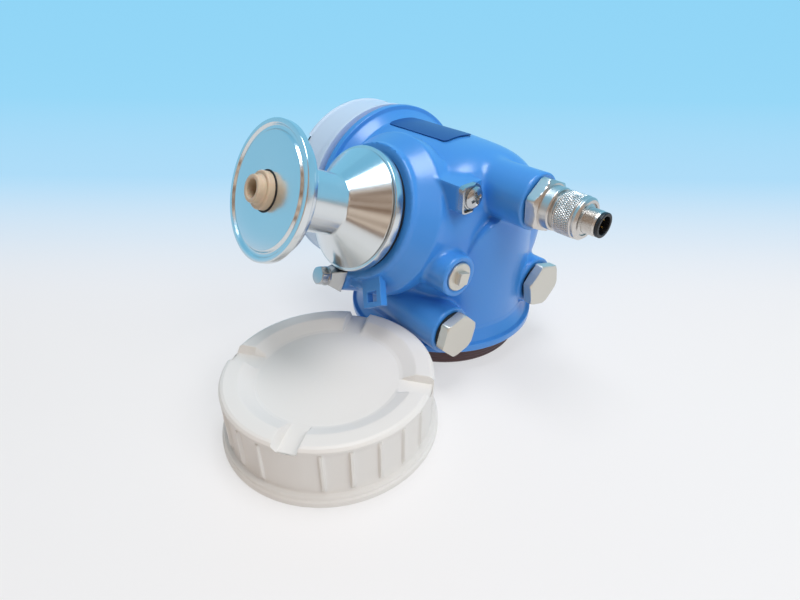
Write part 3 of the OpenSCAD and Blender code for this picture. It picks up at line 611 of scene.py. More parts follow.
# %% [markdown]
# An O-ring seals each cover. It is a moulded silicone ring with a round section, so it is a circle
# carried round the collar's axis. The ring lies in its groove at the foot of the collar.

# %% Collar seals
SEAL_R, SEAL_Z, SEAL_THICK = 48.35, 1.25, 2.3


def ring(name, place, middle, height, thick, surface, body, stands_for):
    """A torus: a circle of the given thickness carried round at the middle radius and height."""
    angle = np.linspace(-math.pi / 2, 1.5 * math.pi, 17)
    outline = [(middle + thick / 2 * math.cos(a), height + thick / 2 * math.sin(a)) for a in angle]
    turned(name, outline, place, surface, body, stands_for)


ring("terminal_o_ring", OPEN_END, SEAL_R, SEAL_Z, SEAL_THICK, RED_RUBBER, "head",
     ["terminal_seal"])
ring("electronics_o_ring", REAR_END, SEAL_R, SHOULDER + SEAL_Z, SEAL_THICK, RED_RUBBER, "head",
     ["electronics_seal"])
print("O-rings:", SEAL_THICK, "mm thick")

# %% [markdown]
# ## The turned adapter
# One bar of stainless on a lathe: clamp ferrule, tube, 45 degree cone and base band. The profile is
# the lathe drawing with every edge broken, because polished steel shows its shape by the bright
# line on each edge.

# %% Process adapter
BAND_TOP = 54.8
lathe = [
    (9.55, 1.8), (9.55, 0.0, 0.12), (26.6, 0.0, 0.5), (27.5, 1.2, 0.5), (29.0, 1.2, 0.5),
    (29.9, 0.0, 0.5), (32.0, 0.0, 0.45), (32.0, 3.6, 0.5), (28.8, 4.0, 0.2), (28.8, 4.4, 0.2),
    (29.4, 4.9, 0.4), (28.7, 7.6, 0.6), (15.0, 7.6, 1.2), (15.0, 35.6, 1.5), (30.4, 49.2, 0.3),
    (30.4, 49.8), (29.9, 49.9), (29.9, 50.1), (32.0, 50.2, 0.4), (32.0, BAND_TOP, 0.4),
    (23.0, BAND_TOP), (23.0, 60.2), (21.0, 60.2), (21.0, 63.2), (23.0, 63.2), (23.0, 71.7),
    (21.4, 71.7), (21.4, 73.9), (23.0, 73.9), (23.0, 75.8, 0.6), (6.0, 75.8), (6.0, 12.2),
    (8.75, 12.2), (8.75, 1.8), (9.55, 1.8)]
turned("clamp_adapter", lathe, PROCESS, STAINLESS, "adapter", ["process_adapter"],
       around=256)
print("adapter:", len(lathe), "corners on its drawing")

# %% Rings of the neck
gap_ring = [(23.2, 54.9), (31.0, 54.9, 0.3), (31.0, 57.4, 0.5), (23.2, 57.4), (23.2, 54.9)]
turned("neck_gap_ring", gap_ring, PROCESS, RUBBER, "adapter", ["neck_ring"])
ring("neck_o_ring", PROCESS, 21.9, 61.7, 1.7, RUBBER, "adapter", ["neck_seal"])
print("neck: a gap ring and an O-ring")

# %% [markdown]
# The probe's bush is turned from beige peek: a wide base, a narrower nose and the hole the probe
# goes through, with a black ring round it in the steel face.

# %% Bush and its ring
NOSE = -7.0  # z of the bush's end; the steel face is at 0
bush = [
    (4.2, 3.0), (4.2, NOSE + 0.5), (4.7, NOSE, 0.2), (6.3, NOSE, 0.7), (6.3, -4.2, 0.5),
    (7.0, -3.5), (8.7, -3.5, 0.8), (8.7, 12.0), (2.55, 12.0), (2.55, 3.0), (4.2, 3.0)]
turned("probe_bush_turned", bush, PROCESS, PEEK, "adapter", ["probe_bush"])
bush_ring = [(8.76, -0.3), (9.5, -0.3, 0.25), (9.5, 1.6), (8.76, 1.6), (8.76, -0.3)]
turned("bush_ring", bush_ring, PROCESS, RUBBER, "adapter", ["bush_seal"])
print("bush: its nose stands", -NOSE, "mm out of the steel face")

# %% [markdown]
# What lies inside the housing is seen only through its mouths, so the frame's own shapes are enough
# there: a welded copy of each, with its edges broken by a small bevel.

# %% Inner parts
for node, surface, body, slot in (
    ("retaining_ring", STEEL, "adapter", "steel_hardware"),
    ("coupling_stud", GOLD, "adapter", "gold_contact"),
    ("feed_insulator", PALE, "adapter", "white_plastic"),
    ("signal_cable", BROWN, "head", "cable_brown"),
    ("electronics_module", POTTING, "head", "potting"),
    ("module_screws", STEEL, "head", "steel_hardware"),
    ("feedthrough", GOLD, "head", "gold_contact"),
    ("terminal_block", GREEN, "head", "green_plastic"),
    ("terminal_screws", STEEL, "head", "steel_hardware"),
    ("inner_ground_screw", STEEL, "head", "steel_hardware"),
    ("lock_clamp", STEEL, "head", "steel_hardware"),
    ("m12_pins", GOLD, "head", "gold_contact")):
    dressed(node, surface, body, edge=0.5 if node == "lock_clamp" else 0.2)

# %% [markdown]
# The lock's clamp is a cast wedge: its block narrows toward the screw's head. The plain block is
# already in the right place, so its points only have to be drawn in toward the screw's axis, in
# proportion to their depth.

# %% Wedge of the clamp
NARROWING = 0.42  # share of the width that is lost at the narrow end
clamp_mesh = bpy.data.objects["lock_clamp_dressed"].data
spots = np.empty(len(clamp_mesh.vertices) * 3)
clamp_mesh.vertices.foreach_get("co", spots)
spots = spots.reshape(-1, 3)
clamp_low, clamp_high = spots[:, 2].min(), spots[:, 2].max()
kept = 1 - NARROWING * (clamp_high - spots[:, 2:]) / (clamp_high - clamp_low)
lock_axis = np.array(LOCK_SPOT) * MM
spots[:, :2] = lock_axis + (spots[:, :2] - lock_axis) * kept
clamp_mesh.vertices.foreach_set("co", spots.ravel())
clamp_mesh.update()
print("clamp:", len(spots), "points drawn in")

# %% [markdown]
# ## The covers
# A cover is cast, turned at its rim and coated. It could be cut with booleans, but those leave
# ragged edges where a notch runs out of a curved ring. Here a cover is a profile carried round, and
# its notches have parallel walls, so a column of the grid isn't kept at one angle: it keeps its
# offset from the notch's middle, and its angle at radius r is asin(offset / r). The notches then
# press the raised ring down to the sunk disc, and the ribs push the skirt out.

# %% Columns round a cover
# Half width of a notch, and the widths of its sloping and its steep side.
NOTCH, RAMP, WALL = 4.6, 2.3, 0.7
RIB_PITCH = 14.5  # degrees from rib to rib
SIDE = NOTCH + RAMP


def cover_columns(ribbed):
    """(middle angle, offset) of each column round the cover: dense at the notch walls and, where
    wanted, ribs."""
    edges = [
        -SIDE - 0.9, -SIDE - 0.2, -SIDE + 0.25, -NOTCH - 0.3, -NOTCH + 0.15, -1.5, 1.5,
        NOTCH - 0.15, NOTCH + 0.12, NOTCH + WALL - 0.12, NOTCH + WALL + 0.3, NOTCH + WALL + 1.1]
    columns = []
    for quarter in range(4):
        columns += [(quarter * 90, offset) for offset in edges]
        plain = np.linspace(11.5, 76.0, 160 if ribbed else 40)
        columns += [(quarter * 90 + angle, 0.0) for angle in plain]
    return np.array(columns)


# %% Profile, notches and ribs
RECESS, DEEP, BORE = 34.8, 3.9, 48.8  # radius and depth of the sunk disc, radius of the cover's inside
INSIDE_POINTS = 13  # the profile's first points lie inside the cover, where no notch is pressed


def cover_profile(rim, skirt, height):
    """The lathe drawing of a cover: up the inside, round the rim, up the skirt, and in over the
    ring to the disc."""
    floor = height - DEEP
    lips = np.linspace(6.3, height - 4.4, 9)
    return rounded([
        (0, floor - 3.6), (BORE - 6, floor - 3.6, 0.8), (BORE - 3, floor - 6.6, 0.8),
        (BORE - 3, 15.5), (BORE, 15.5), (BORE, 3.4), (BORE + 1.7, 3.1), (BORE + 1.7, 0),
        (rim, 0, 0.5), (rim, 2.9, 1.0), (rim - 0.9, 3.6, 0.5), (rim - 1.1, 4.9, 1.0),
        (skirt + 0.5, 5.5, 0.5), (skirt, 6.2), *[(skirt, v) for v in lips], (skirt, height - 3.7),
        (skirt + 0.75, height - 2.9, 0.4), (skirt + 0.75, height - 1.6, 0.6),
        (skirt - 0.3, height - 0.5, 0.5), (skirt - 1.6, height, 0.8), (RECESS + 7.6, height, 3.0),
        (RECESS + 1.2, floor + 0.5, 1.2), (RECESS - 0.5, floor, 0.4), (RECESS * 0.6, floor),
        (0, floor)])


def notch_floor(offset, floor):
    """Height of the notch over its offset: floor in the middle, a ramp on one side and a steep wall
    on the other."""
    ramp = (-offset - NOTCH) / RAMP
    wall = (offset - NOTCH) / WALL
    return floor + (DEEP + 0.3) * np.clip(np.maximum(ramp, wall), 0, None)


def grip(angle, skirt):
    """How far the skirt moves out at an angle: narrow ribs 1.1 high, and hollow flutes 0.8 deep
    between them."""
    spread = (np.degrees(angle) % 90) - 45
    off_rib = np.abs((spread + RIB_PITCH / 2) % RIB_PITCH - RIB_PITCH / 2) * math.radians(1) * skirt
    half = math.radians(RIB_PITCH / 2) * skirt
    lift = 1.1 * np.clip((1.15 - off_rib) / 0.5, 0, 1) * (np.abs(spread) < 2.2 * RIB_PITCH)
    round_flute = np.sqrt(np.clip(1 - ((half - off_rib) / (half - 0.9)) ** 2, 0, 1))
    return lift - 0.8 * round_flute * (np.abs(spread) < 2 * RIB_PITCH)


# %% One cover
def cover(name, place, rim, skirt, height, turn, node, body, coat, ribbed=True):
    """A cover that stands on its open end at the place, turned about its axis by the given degrees."""
    profile = cover_profile(rim, skirt, height)
    columns = cover_columns(ribbed)
    offset = columns[:, 1]
    r, z = profile[:, :1], profile[:, 1:]
    angle = np.radians(columns[:, 0]) + np.arcsin(offset / np.maximum(r, RECESS))
    outside = np.arange(len(r))[:, None] >= INSIDE_POINTS
    pressed = outside & (r > RECESS - 0.4) & (offset != 0)
    surface = np.where(pressed, np.minimum(z, notch_floor(offset, height - DEEP)), z)
    if ribbed:
        window = np.clip((z - 6.2) / 1.2, 0, 1) * np.clip((height - 3.7 - z) / 1.0, 0, 1)
        r = r + grip(angle, skirt) * window * (r <= skirt + 0.01) * (r > BORE)
    angle = angle + math.radians(turn)
    points = np.stack(np.broadcast_arrays(r * np.cos(angle), r * np.sin(angle), surface), axis=-1)
    faces = grid_faces(len(profile), len(columns))
    build(name, put(points.reshape(-1, 3), place), faces, coat, body, [node], 40)
    print(name + ":", len(faces), "quads")


# %% [markdown]
# One cover is screwed on. It is made without ribs, and its notches are turned out of sight. The
# other is off: it lies top up, so its place points the other way along the open drum's axis.

# %% Both covers
OFF_PLACE = inside(BODY, (70.0, -31.0, -105.6), (0, 0, 1), (0, 1, 0), (-1, 0, 0))
ON_PLACE = inside(BODY, (0, FLANGE_Y + SHOULDER + 0.2, 0), (1, 0, 0), (0, 0, -1), (0, 1, 0))
cover("taken_off_cover", OFF_PLACE, 54.29, 50.6, 32.5, 126.5, "terminal_cover", "head", WHITE)
cover("mounted_cover", ON_PLACE, 55.6, 54.1, 26.79, 40.0, "electronics_cover", "rear_cover",
      BLUE_LIT_WHITE, ribbed=False)

# %% [markdown]
# ## Hexagons
# The plugs, the connector and the locking screw are cut from hexagon bar. A hexagon's radius is
# half its width across flats over cos(angle to the nearest flat). Taking the smaller of that and a
# turned profile chamfers the corners, as a lathe does to hexagon bar. The corners lose 0.2 mm.

# %% Hexagon ripple and a turned place
def hexagon(across):
    """Ripple that holds a profile inside a hexagon with a corner at angle 0."""
    half = across / 2

    def held(r, z, angle):
        side = half / np.cos((angle % (math.pi / 3)) - math.pi / 6)
        side = np.minimum(side, half / math.cos(math.pi / 6) - 0.2)
        return np.minimum(r, side) - r

    return held


def spun(place, degrees):
    """The same place turned about its own z."""
    c, s = math.cos(math.radians(degrees)), math.sin(math.radians(degrees))
    return place[0], place[1] @ np.array([[c, -s, 0], [s, c, 0], [0, 0, 1]])


# %% Blanking plugs and their seals
def blanking_plug(side, across, turn):
    """Plain hexagon plug on its seal: thread, head with both edges chamfered, flat face."""
    place = port(*PORTS[side], PORT_FACE)
    corner = across / 2 / math.cos(math.pi / 6)
    head = [
        (0, -9.9), (9.0, -9.9, 0.3), (9.85, -9.0), (9.85, 1.4), (across * 0.47, 1.45),
        (corner + 0.1, 2.2, 0.3), (corner + 0.1, 6.6), (corner - 0.5, 6.85),
        (corner - 1.0, 7.15, 0.3), (across * 0.48, 7.4, 0.4), (0, 7.4)]
    turned("plug_" + side + "_head", head, spun(place, turn), PLUG, "head",
           ["plug_" + side], ripple=hexagon(across), sharp=28)
    seal = [(9.95, 0.0), (10.9, 0.0, 0.4), (10.9, 1.35, 0.4), (9.95, 1.35), (9.95, 0.0)]
    turned("plug_" + side + "_washer", seal, place, RUBBER, "head",
           ["plug_" + side + "_seal"])
    print("plug", side + ":", across, "mm across flats")


blanking_plug("right", 24.0, 14)
blanking_plug("left", 21.6, -15)

# %% [markdown]
# The small plug sits in a recess of its boss: a disc with a square stub for the key. It is turned
# as one round piece, and the stub is then held inside a square in the same way as a hexagon.

# %% Small plug in its recess
STUB = 6.2  # width of the square
small = [
    (0, -9.0), (4.4, -9.0, 0.4), (4.4, 0.0), (7.5, 0.0, 0.3), (7.5, 1.2, 0.4), (7.1, 1.6, 0.3),
    (5.6, 1.75), (4.4, 1.8, 0.1), (4.4, 4.1, 0.1), (4.0, 4.5, 0.1), (0, 4.5)]


def square_stub(r, z, angle):
    """Holds the part above the disc inside a square with broken corners."""
    side = np.minimum(STUB / 2 / np.cos((angle % (math.pi / 2)) - math.pi / 4), 4.25)
    return np.where((z > 1.78) & (r < 5.0), np.minimum(r, side) - r, 0.0)


small_place = spun(port(*PORTS["small"], PORT_FACE - 1.0), 30)
turned("small_plug_turned", small, small_place, PLUG, "head", ["small_plug"],
       ripple=square_stub, sharp=28)
print("small plug: a square of", STUB, "mm")

# %% [markdown]
# ## The connector
# A nickel-plated body is screwed into the tall boss: hexagon, collar, a groove, the knurled sleeve,
# and a threaded barrel with a black insert. All of it is turned. A knurl is rolled by two wheels
# with slanting teeth, so it is two helical triangle waves crossed. Its 54 teeth are coarser than
# real ones, so that they show.

# %% Knurl
CONNECTOR = port(*PORTS["connector"], 64.2)
SLEEVE_Z = 13.7  # where the sleeve begins, above the boss


def knurl(r, z, angle):
    """Diamond knurl 0.45 mm deep: the lower of two triangle waves that climb to the left and to the
    right."""
    turns, pitch = 54, 1.9
    left = np.abs((angle / (2 * math.pi) * turns + z / pitch) % 1.0 - 0.5) * 2
    right = np.abs((angle / (2 * math.pi) * turns - z / pitch) % 1.0 - 0.5) * 2
    rows = (r > 9.9) & (z > 1.2) & (z < 9.2)
    return np.where(rows, -0.45 * (1 - np.minimum(1, 1.7 * np.minimum(left, right))), 0.0)


# %% Connector
barrel_thread = [(6.0 - 0.3 * (k % 2), 27.0 + 0.25 * k) for k in range(20)]
body_outline = [
    (5.0, -9.0), (9.2, -9.0, 0.3), (9.85, -8.3), (9.85, -0.1), (11.0, 0.0, 0.3), (13.25, 0.9),
    (13.9, 1.5), (13.9, 5.0), (13.4, 5.6), (12.7, 6.1), (12.0, 6.55), (11.3, 7.0, 0.3),
    (10.4, 7.05, 0.2), (10.4, 11.4, 0.5), (9.8, 12.0, 0.3), (8.5, 12.05), (8.5, 13.6), (7.6, 13.6),
    (7.6, 26.0), (6.0, 26.6, 0.3), *barrel_thread, (6.0, 32.0), (5.8, 33.1, 0.2), (5.05, 33.2),
    (5.0, 33.0), (5.0, -9.0)]
turned("connector_body", body_outline, spun(CONNECTOR, 8), NICKEL, "head", ["m12_body"],
       ripple=hexagon(24.0), sharp=28)

knurled_rows = [(10.2, 1.0 + 0.26 * k) for k in range(33)]
sleeve = [
    (7.66, 0.0), (9.5, 0.0, 0.3), (10.2, 0.8), *knurled_rows, (10.2, 9.6, 0.2), (9.7, 10.0, 0.2),
    (9.7, 10.4, 0.2), (10.0, 10.8, 0.3), (10.0, 11.8, 0.5), (9.0, 12.8, 0.4), (7.66, 12.8),
    (7.66, 0.0)]
sleeve_place = inside(CONNECTOR, (0, 0, SLEEVE_Z), (1, 0, 0), (0, 1, 0), (0, 0, 1))
turned("knurled_sleeve", sleeve, sleeve_place, NICKEL, "head", ["m12_sleeve"],
       ripple=knurl, around=384, sharp=40)

insert = [
    (0, 21.0), (4.95, 21.0), (4.95, 33.2), (5.85, 33.25, 0.2), (5.85, 34.98, 0.4),
    (4.25, 34.98, 0.3), (4.25, 28.0), (0, 28.0)]
turned("connector_insert", insert, CONNECTOR, BLACK, "head", ["m12_insert"])
print("connector: body, sleeve and insert")

# %% [markdown]
# ## Screws
# The ground screw's pan head is pressed, with a cross recess. It is a grid over its disc: the
# height falls off as a circle does, and the recess is pressed in where either arm of the cross
# covers the point. Below the head follow its rim, its washer and its shank, as more rings of the
# same grid.

# %% Ground screw
GROUND = port(-34.0, -27.0, 42.7)
ARM_WIDE, ARM_LONG, CROSS_DEEP = 0.62, 2.7, 1.7
spokes = np.linspace(0, 2 * math.pi, 120, endpoint=False)
rings = np.concatenate([np.linspace(0, 3.6, 18), np.linspace(3.8, 5.5, 9)])
off_axis, bearing = np.meshgrid(rings, spokes, indexing="ij")
px, py = off_axis * np.cos(bearing), off_axis * np.sin(bearing)
crown = 1.9 + 2.7 * np.sqrt(np.clip(1 - (off_axis / 5.9) ** 2.4, 0, 1))
one_arm = np.maximum(np.abs(px) / ARM_WIDE, np.abs(py) / ARM_LONG)
other_arm = np.maximum(np.abs(py) / ARM_WIDE, np.abs(px) / ARM_LONG)
cross = np.minimum(np.minimum(one_arm, other_arm), off_axis / 1.25)
head_z = crown - CROSS_DEEP * np.clip((1.25 - cross) / 0.3, 0, 1)

low_r = np.array([5.55, 5.55, 6.1, 6.1, 2.45, 2.45, 0.0])[:, None]
low_z = np.array([2.6, 2.2, 2.15, 1.35, 1.3, -9.0, -9.0])[:, None]
head = np.stack([px, py, head_z], -1)
below = np.stack([low_r * np.cos(spokes), low_r * np.sin(spokes), low_z + 0 * spokes], -1)
points = np.concatenate([head, below])[::-1]
faces = grid_faces(len(points), len(spokes))
build("ground_screw_head", put(points.reshape(-1, 3), spun(GROUND, 20)), faces, STEEL, "head",
      ["ground_screw"], 30)
print("ground screw:", len(faces), "quads")

# %% [markdown]
# The saddle under it is pressed from sheet: straight on one side with a raised lip, round on the
# other. A spoke's length to the edge is a superellipse of exponent 8 on the straight side and a
# circle on the round side.

# %% Ground saddle
HALF_X, HALF_Y, ROUND_R = 6.9, 8.1, 7.0
straight = (np.abs(np.cos(spokes) / HALF_X) ** 8 + np.abs(np.sin(spokes) / HALF_Y) ** 8) ** -0.125
reach_out = np.where(np.sin(spokes) < 0, straight, np.minimum(straight, ROUND_R))
lip = 1.9 * np.clip((-np.sin(spokes) + 0.35) / 0.5, 0, 1)
no, flat = 0 * spokes, 0 * lip
plate_r = np.array([
    no, reach_out - 1.5, reach_out - 1.1, reach_out - 1.0, reach_out - 0.2, reach_out, reach_out, no])
plate_z = np.array([
    1.3 + flat, 1.3 + flat, 1.35 + flat, 1.4 + lip, 1.4 + lip, 1.2 + lip, 0.02 + flat, 0.02 + flat])
points = np.stack([plate_r * np.cos(spokes), plate_r * np.sin(spokes), plate_z], -1)[::-1]
faces = grid_faces(len(points), len(spokes))
build("ground_saddle_pressed", put(points.reshape(-1, 3), GROUND), faces, STEEL, "head",
      ["ground_saddle"], 30)
print("ground saddle:", len(faces), "quads")

# %% [markdown]
# The locking screw hangs under its lug, head down, and turns by itself, so it rides on a body of
# its own. Its washer face and shank are round, and only the part above them is held inside the
# hexagon.

# %% Locking screw
LOCK_R, LOCK_TURN, LOCK_Z = 38.6, math.radians(4), 48.9
lock_start = (LOCK_R * math.cos(LOCK_TURN), LOCK_R * math.sin(LOCK_TURN), LOCK_Z)
lock_place = inside(PROCESS, lock_start, (1, 0, 0), (0, -1, 0), (0, 0, -1))
LOCK_FLATS = 9.0
lock_hexagon = hexagon(LOCK_FLATS)


def lock_head(r, z, angle):
    """The hexagon's ripple, only above the washer face."""
    return np.where(z > 1.22, lock_hexagon(r, z, angle), 0.0)


screw = [
    (0, -19.4), (2.6, -19.4, 0.3), (2.95, -18.6), (2.95, 0.0), (5.1, 0.0, 0.2), (5.1, 1.2, 0.3),
    (4.5, 1.25), (5.2, 1.3), (5.2, 5.0), (4.7, 5.3), (4.3, 5.58, 0.2), (0, 5.58)]
turned("lock_screw_hex", screw, lock_place, STEEL, "lock", ["lock_screw"],
       ripple=lock_head, sharp=28)
print("locking screw:", LOCK_FLATS, "mm across flats")

# %% [markdown]
# ## The nameplate
# A sheet curved round the covered drum, 0.5 mm thick with rounded corners, bare as far as it can be
# seen. Two grids at two radii are its back and its face, and a border of quads joins them.

# %% Nameplate grid
LONG, WIDE = 40, 25  # points along and across the plate
PLATE_BACK, PLATE_FACE = 50.08, 50.6
along, over = np.linspace(-7.8, 39.8, LONG), np.linspace(-1, 1, WIDE)
uu, vv = np.meshgrid(along, over, indexing="ij")
corner = np.clip((np.abs(uu - 16) - 21.8) / 2.0, 0, 1)
width = 10.3 - 2.0 * (1 - np.sqrt(np.clip(1 - corner**2, 0, 1)))
lean = vv * width / 50.3
sheets = [
    np.stack([-radius * np.cos(lean), uu, radius * np.sin(lean)], -1).reshape(-1, 3)
    for radius in (PLATE_BACK, PLATE_FACE)]
number = np.arange(LONG * WIDE).reshape(LONG, WIDE)
border = np.concatenate([number[0], number[1:, -1], number[-1, -2::-1], number[-2:0:-1, 0]])
after = np.roll(border, -1)
edge = np.stack([border, after, after + number.size, border + number.size], -1)
top = grid_faces(LONG, WIDE, closed_columns=False)
faces = np.concatenate([top + number.size, top[:, ::-1], edge])
build("nameplate_foil", put(np.concatenate(sheets), BODY), faces, FOIL, "head",
      ["nameplate"], 40)

# %% [markdown]
# ## Stage, camera and light
# The object lies on its open rim, so the table is square to the open drum's axis. The floor is pale
# and curves up into a pale blue wall far behind, all in one sheet, as a paper sweep in a studio
# does. Distances on the stage are measured to the side, away from the camera, and up from the
# table. The camera is given by its spot and by three directions in the frame: to its right, to its
# top and to its back, so it needs no target to look at. It is a slightly wide lens, held close.

# %% Camera
UP = BODY_AXES @ np.array([-1.0, 0.0, 0.0])
CAMERA_SPOT = Vector((-0.037475, -0.206286, -0.122231))
RIGHT = Vector((-0.31658, -0.64365, 0.69677))
TOP = Vector((-0.90907, 0.41562, -0.0291))
BACK = Vector((-0.27086, -0.64263, -0.7167))
camera_data = bpy.data.cameras.new("camera")
camera_data.lens = 23.5
camera_data.sensor_width = 36.0
camera_data.clip_start = 0.01
camera_data.clip_end = 20.0
camera = bpy.data.objects.new("camera", camera_data)
bpy.context.scene.collection.objects.link(camera)
camera.matrix_world = Matrix.Translation(CAMERA_SPOT) @ Matrix((RIGHT, TOP, BACK)).transposed().to_4x4()
bpy.context.scene.camera = camera
print("table up in the frame:", UP.round(3))

# %% Stage directions
away = -np.array(BACK)
away = away - UP * (away @ UP)
away = away / np.linalg.norm(away)
side = np.cross(away, UP)
MIDDLE = CROSSING + BODY_AXES @ np.array([70.05, -20, -50])  # a spot on the table under the object


def on_stage(spot):
    """A spot given as (side, away, up) millimetres from the middle of the table, in the frame's
    metres."""
    return (MIDDLE + side * spot[0] + away * spot[1] + UP * spot[2]) * MM


# %% Floor and backdrop
REACH, BEND = 900.0, 500.0  # the floor's flat length behind the object, and the radius of the bend
turn = np.linspace(0.06, math.pi / 2, 24)
run = np.concatenate([np.linspace(-700, REACH, 24), REACH + BEND * np.sin(turn),
                      np.full(8, REACH + BEND)])
rise = np.concatenate([np.zeros(24), BEND * (1 - np.cos(turn)), np.linspace(600, 1500, 8)])
wide = np.linspace(-1800, 1800, 30)
sheet = MIDDLE + run[:, None, None] * away + rise[:, None, None] * UP + wide[None, :, None] * side
mesh = bpy.data.meshes.new("table_and_wall")
faces = grid_faces(len(run), len(wide), closed_columns=False)
mesh.from_pydata((sheet.reshape(-1, 3) * MM).tolist(), [], faces.tolist())
mesh.polygons.foreach_set("use_smooth", np.ones(len(mesh.polygons), bool))
table = bpy.data.objects.new("table_and_wall", mesh)
bpy.context.scene.collection.objects.link(table)
print("sweep:", len(faces), "quads")

# %% [markdown]
# Near the object the sweep is white paper, half of it glowing, so that it stays pale under plain
# lamps and still takes the object's shadow. Further off it turns into a glowing wall that goes from
# white to pale blue. From behind, the camera looks through the sheet.

# %% Paper of the sweep
PAPER = finish("white to blue sweep", "#E2E0E0", 0.8, Specular_IOR_Level=0.15)
tree = PAPER.node_tree
where = add(tree, "ShaderNodeTexCoord")
outward = away + UP
along_sweep = add(tree, "ShaderNodeVectorMath", {0: where.outputs["Object"], 1: tuple(outward)},
                  operation="DOT_PRODUCT")
distance = add(tree, "ShaderNodeMath",
               {0: along_sweep.outputs["Value"], 1: float(outward @ MIDDLE) * MM},
               operation="SUBTRACT")
share = add(tree, "ShaderNodeMapRange",
            {"Value": distance.outputs[0], "From Min": -0.05, "From Max": 0.32},
            interpolation_type="SMOOTHSTEP")
sky = add(tree, "ShaderNodeMapRange", {"Value": distance.outputs[0], "From Min": 0.0, "From Max": 1.6})
ramp = add(tree, "ShaderNodeValToRGB", {"Fac": sky.outputs[0]})
stops = (
    (0.0, "#F0F1F6"), (0.05, "#E9F0FA"), (0.1, "#D3E8FA"), (0.2, "#AFDDF9"), (0.45, "#98D8F8"),
    (1.0, "#8ED4F6"))
for position, colour in stops[1:-1]:
    ramp.color_ramp.elements.new(position).color = linear(colour)
ramp.color_ramp.elements[0].color = linear(stops[0][1])
ramp.color_ramp.elements[-1].color = linear(stops[-1][1])
wall = add(tree, "ShaderNodeEmission", {"Color": ramp.outputs[0], "Strength": 1.0})
glow = add(tree, "ShaderNodeEmission", {"Color": linear("#FFFFFF"), "Strength": 1.0})
paper = tree.nodes["Principled BSDF"].outputs[0]
lit_table = add(tree, "ShaderNodeMixShader", {0: 0.5, 1: paper, 2: glow.outputs[0]})
sweep = add(tree, "ShaderNodeMixShader",
            {0: share.outputs[0], 1: lit_table.outputs[0], 2: wall.outputs[0]})
facing, path = add(tree, "ShaderNodeNewGeometry"), add(tree, "ShaderNodeLightPath")
seen_from_behind = add(tree, "ShaderNodeMath",
                       {0: facing.outputs["Backfacing"], 1: path.outputs["Is Camera Ray"]},
                       operation="MULTIPLY")
clear = add(tree, "ShaderNodeBsdfTransparent")
both = add(tree, "ShaderNodeMixShader",
           {0: seen_from_behind.outputs[0], 1: sweep.outputs[0], 2: clear.outputs[0]})
tree.links.new(both.outputs[0], tree.nodes["Material Output"].inputs["Surface"])
mesh.materials.append(PAPER)
print("paper nodes:", len(tree.nodes))

# %% [markdown]
# A large soft key from the right shows the forms, two weak fills keep the far sides from going
# dark, and a panel above gives the shadow on the table. The key and the fills are left out of
# reflections, so that polished steel shows the room and the panel instead of three white squares.

# %% Lamps
def lamp(name, size, power, colour, spot, aim, seen=True):
    """A square area lamp at a spot on the stage, turned to its aim. An unseen lamp doesn't show in
    shiny surfaces."""
    data = bpy.data.lights.new(name, "AREA")
    data.size = size
    data.energy = power
    data.color = linear(colour)[:3]
    piece = bpy.data.objects.new(name, data)
    bpy.context.scene.collection.objects.link(piece)
    piece.visible_glossy = seen
    start, target = on_stage(spot), on_stage(aim)
    turn_to = Vector(target - start).to_track_quat("-Z", "Y").to_matrix().to_4x4()
    piece.matrix_world = Matrix.Translation(start) @ turn_to
    print(name + ":", power, "W")


lamp("soft key, right front", 0.5, 3.1, "#FFFDFA", (460, -420, 680), (0, 0, 40), seen=False)
lamp("warm fill, left", 0.4, 0.3, "#FFC794", (-420, -440, 160), (0, 0, 20), seen=False)
lamp("cool fill, low right", 0.5, 1.3, "#D8E9FF", (640, -560, 130), (0, 0, 60), seen=False)
lamp("top panel", 0.4, 4.3, "#F8FAFF", (20, 10, 900), (0, 0, 40))

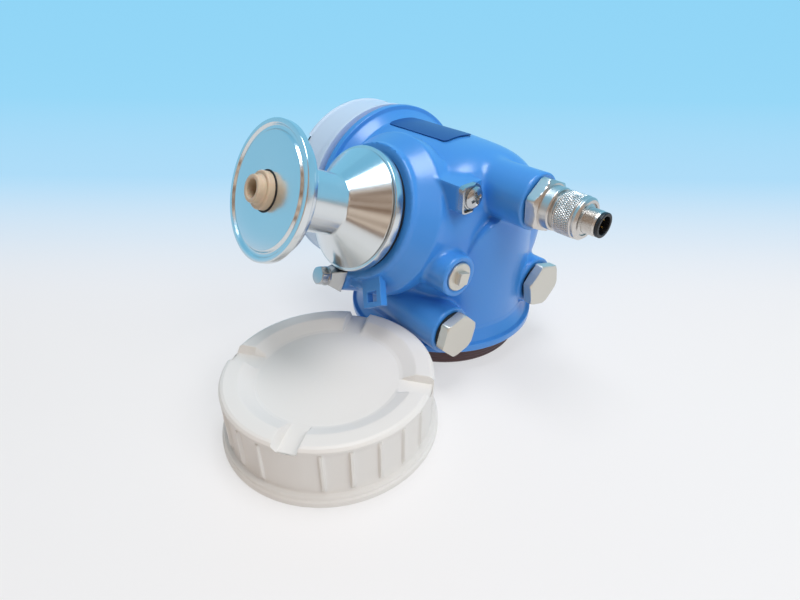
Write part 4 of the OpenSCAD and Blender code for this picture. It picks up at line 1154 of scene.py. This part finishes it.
# %% [markdown]
# Steel is only as good as what it reflects. The world has two sides: a weak plain light for
# everything, and what glossy rays see, which is pale blue ahead and a warm, blotchy room behind the
# camera.

# %% World
world = bpy.data.worlds.new("studio")
bpy.context.scene.world = world
world.use_nodes = True
tree = world.node_tree
tree.nodes.clear()
where = add(tree, "ShaderNodeTexCoord")
direction = where.outputs["Generated"]
upward = add(tree, "ShaderNodeVectorMath", {0: direction, 1: tuple(UP)}, operation="DOT_PRODUCT")
ramp = add(tree, "ShaderNodeValToRGB", {"Fac": upward.outputs["Value"]})
ramp.color_ramp.elements[0].color = linear("#9FDAF7")
ramp.color_ramp.elements[1].color = linear("#7FCBF1")
forward = add(tree, "ShaderNodeVectorMath", {0: direction, 1: tuple(-away)}, operation="DOT_PRODUCT")
room_share = add(tree, "ShaderNodeMapRange",
                 {"Value": forward.outputs["Value"], "From Min": 0.1, "From Max": 0.5},
                 interpolation_type="SMOOTHSTEP")
blotches = add(tree, "ShaderNodeTexNoise", {"Vector": direction, "Scale": 6.0, "Detail": 2.0})
room = add(tree, "ShaderNodeValToRGB", {"Fac": blotches.outputs[0]})
room.color_ramp.elements[0].position, room.color_ramp.elements[0].color = 0.42, linear("#7A5A44")
room.color_ramp.elements[1].position, room.color_ramp.elements[1].color = 0.6, linear("#F0DCC9")
# A colour Mix node keeps its two colours in sockets 6 and 7, and its colour result in output 2.
seen = add(tree, "ShaderNodeMix", {0: room_share.outputs[0], 6: ramp.outputs[0], 7: room.outputs[0]},
           data_type="RGBA")
path = add(tree, "ShaderNodeLightPath")
reflected = add(tree, "ShaderNodeBackground", {"Color": seen.outputs[2], "Strength": 0.95})
lighting = add(tree, "ShaderNodeBackground", {"Color": linear("#FFFBF7"), "Strength": 0.2})
both = add(tree, "ShaderNodeMixShader",
           {0: path.outputs["Is Glossy Ray"], 1: lighting.outputs[0], 2: reflected.outputs[0]})
add(tree, "ShaderNodeOutputWorld", {"Surface": both.outputs[0]})
bpy.context.scene.view_settings.view_transform = "Standard"
print("world nodes:", len(tree.nodes))
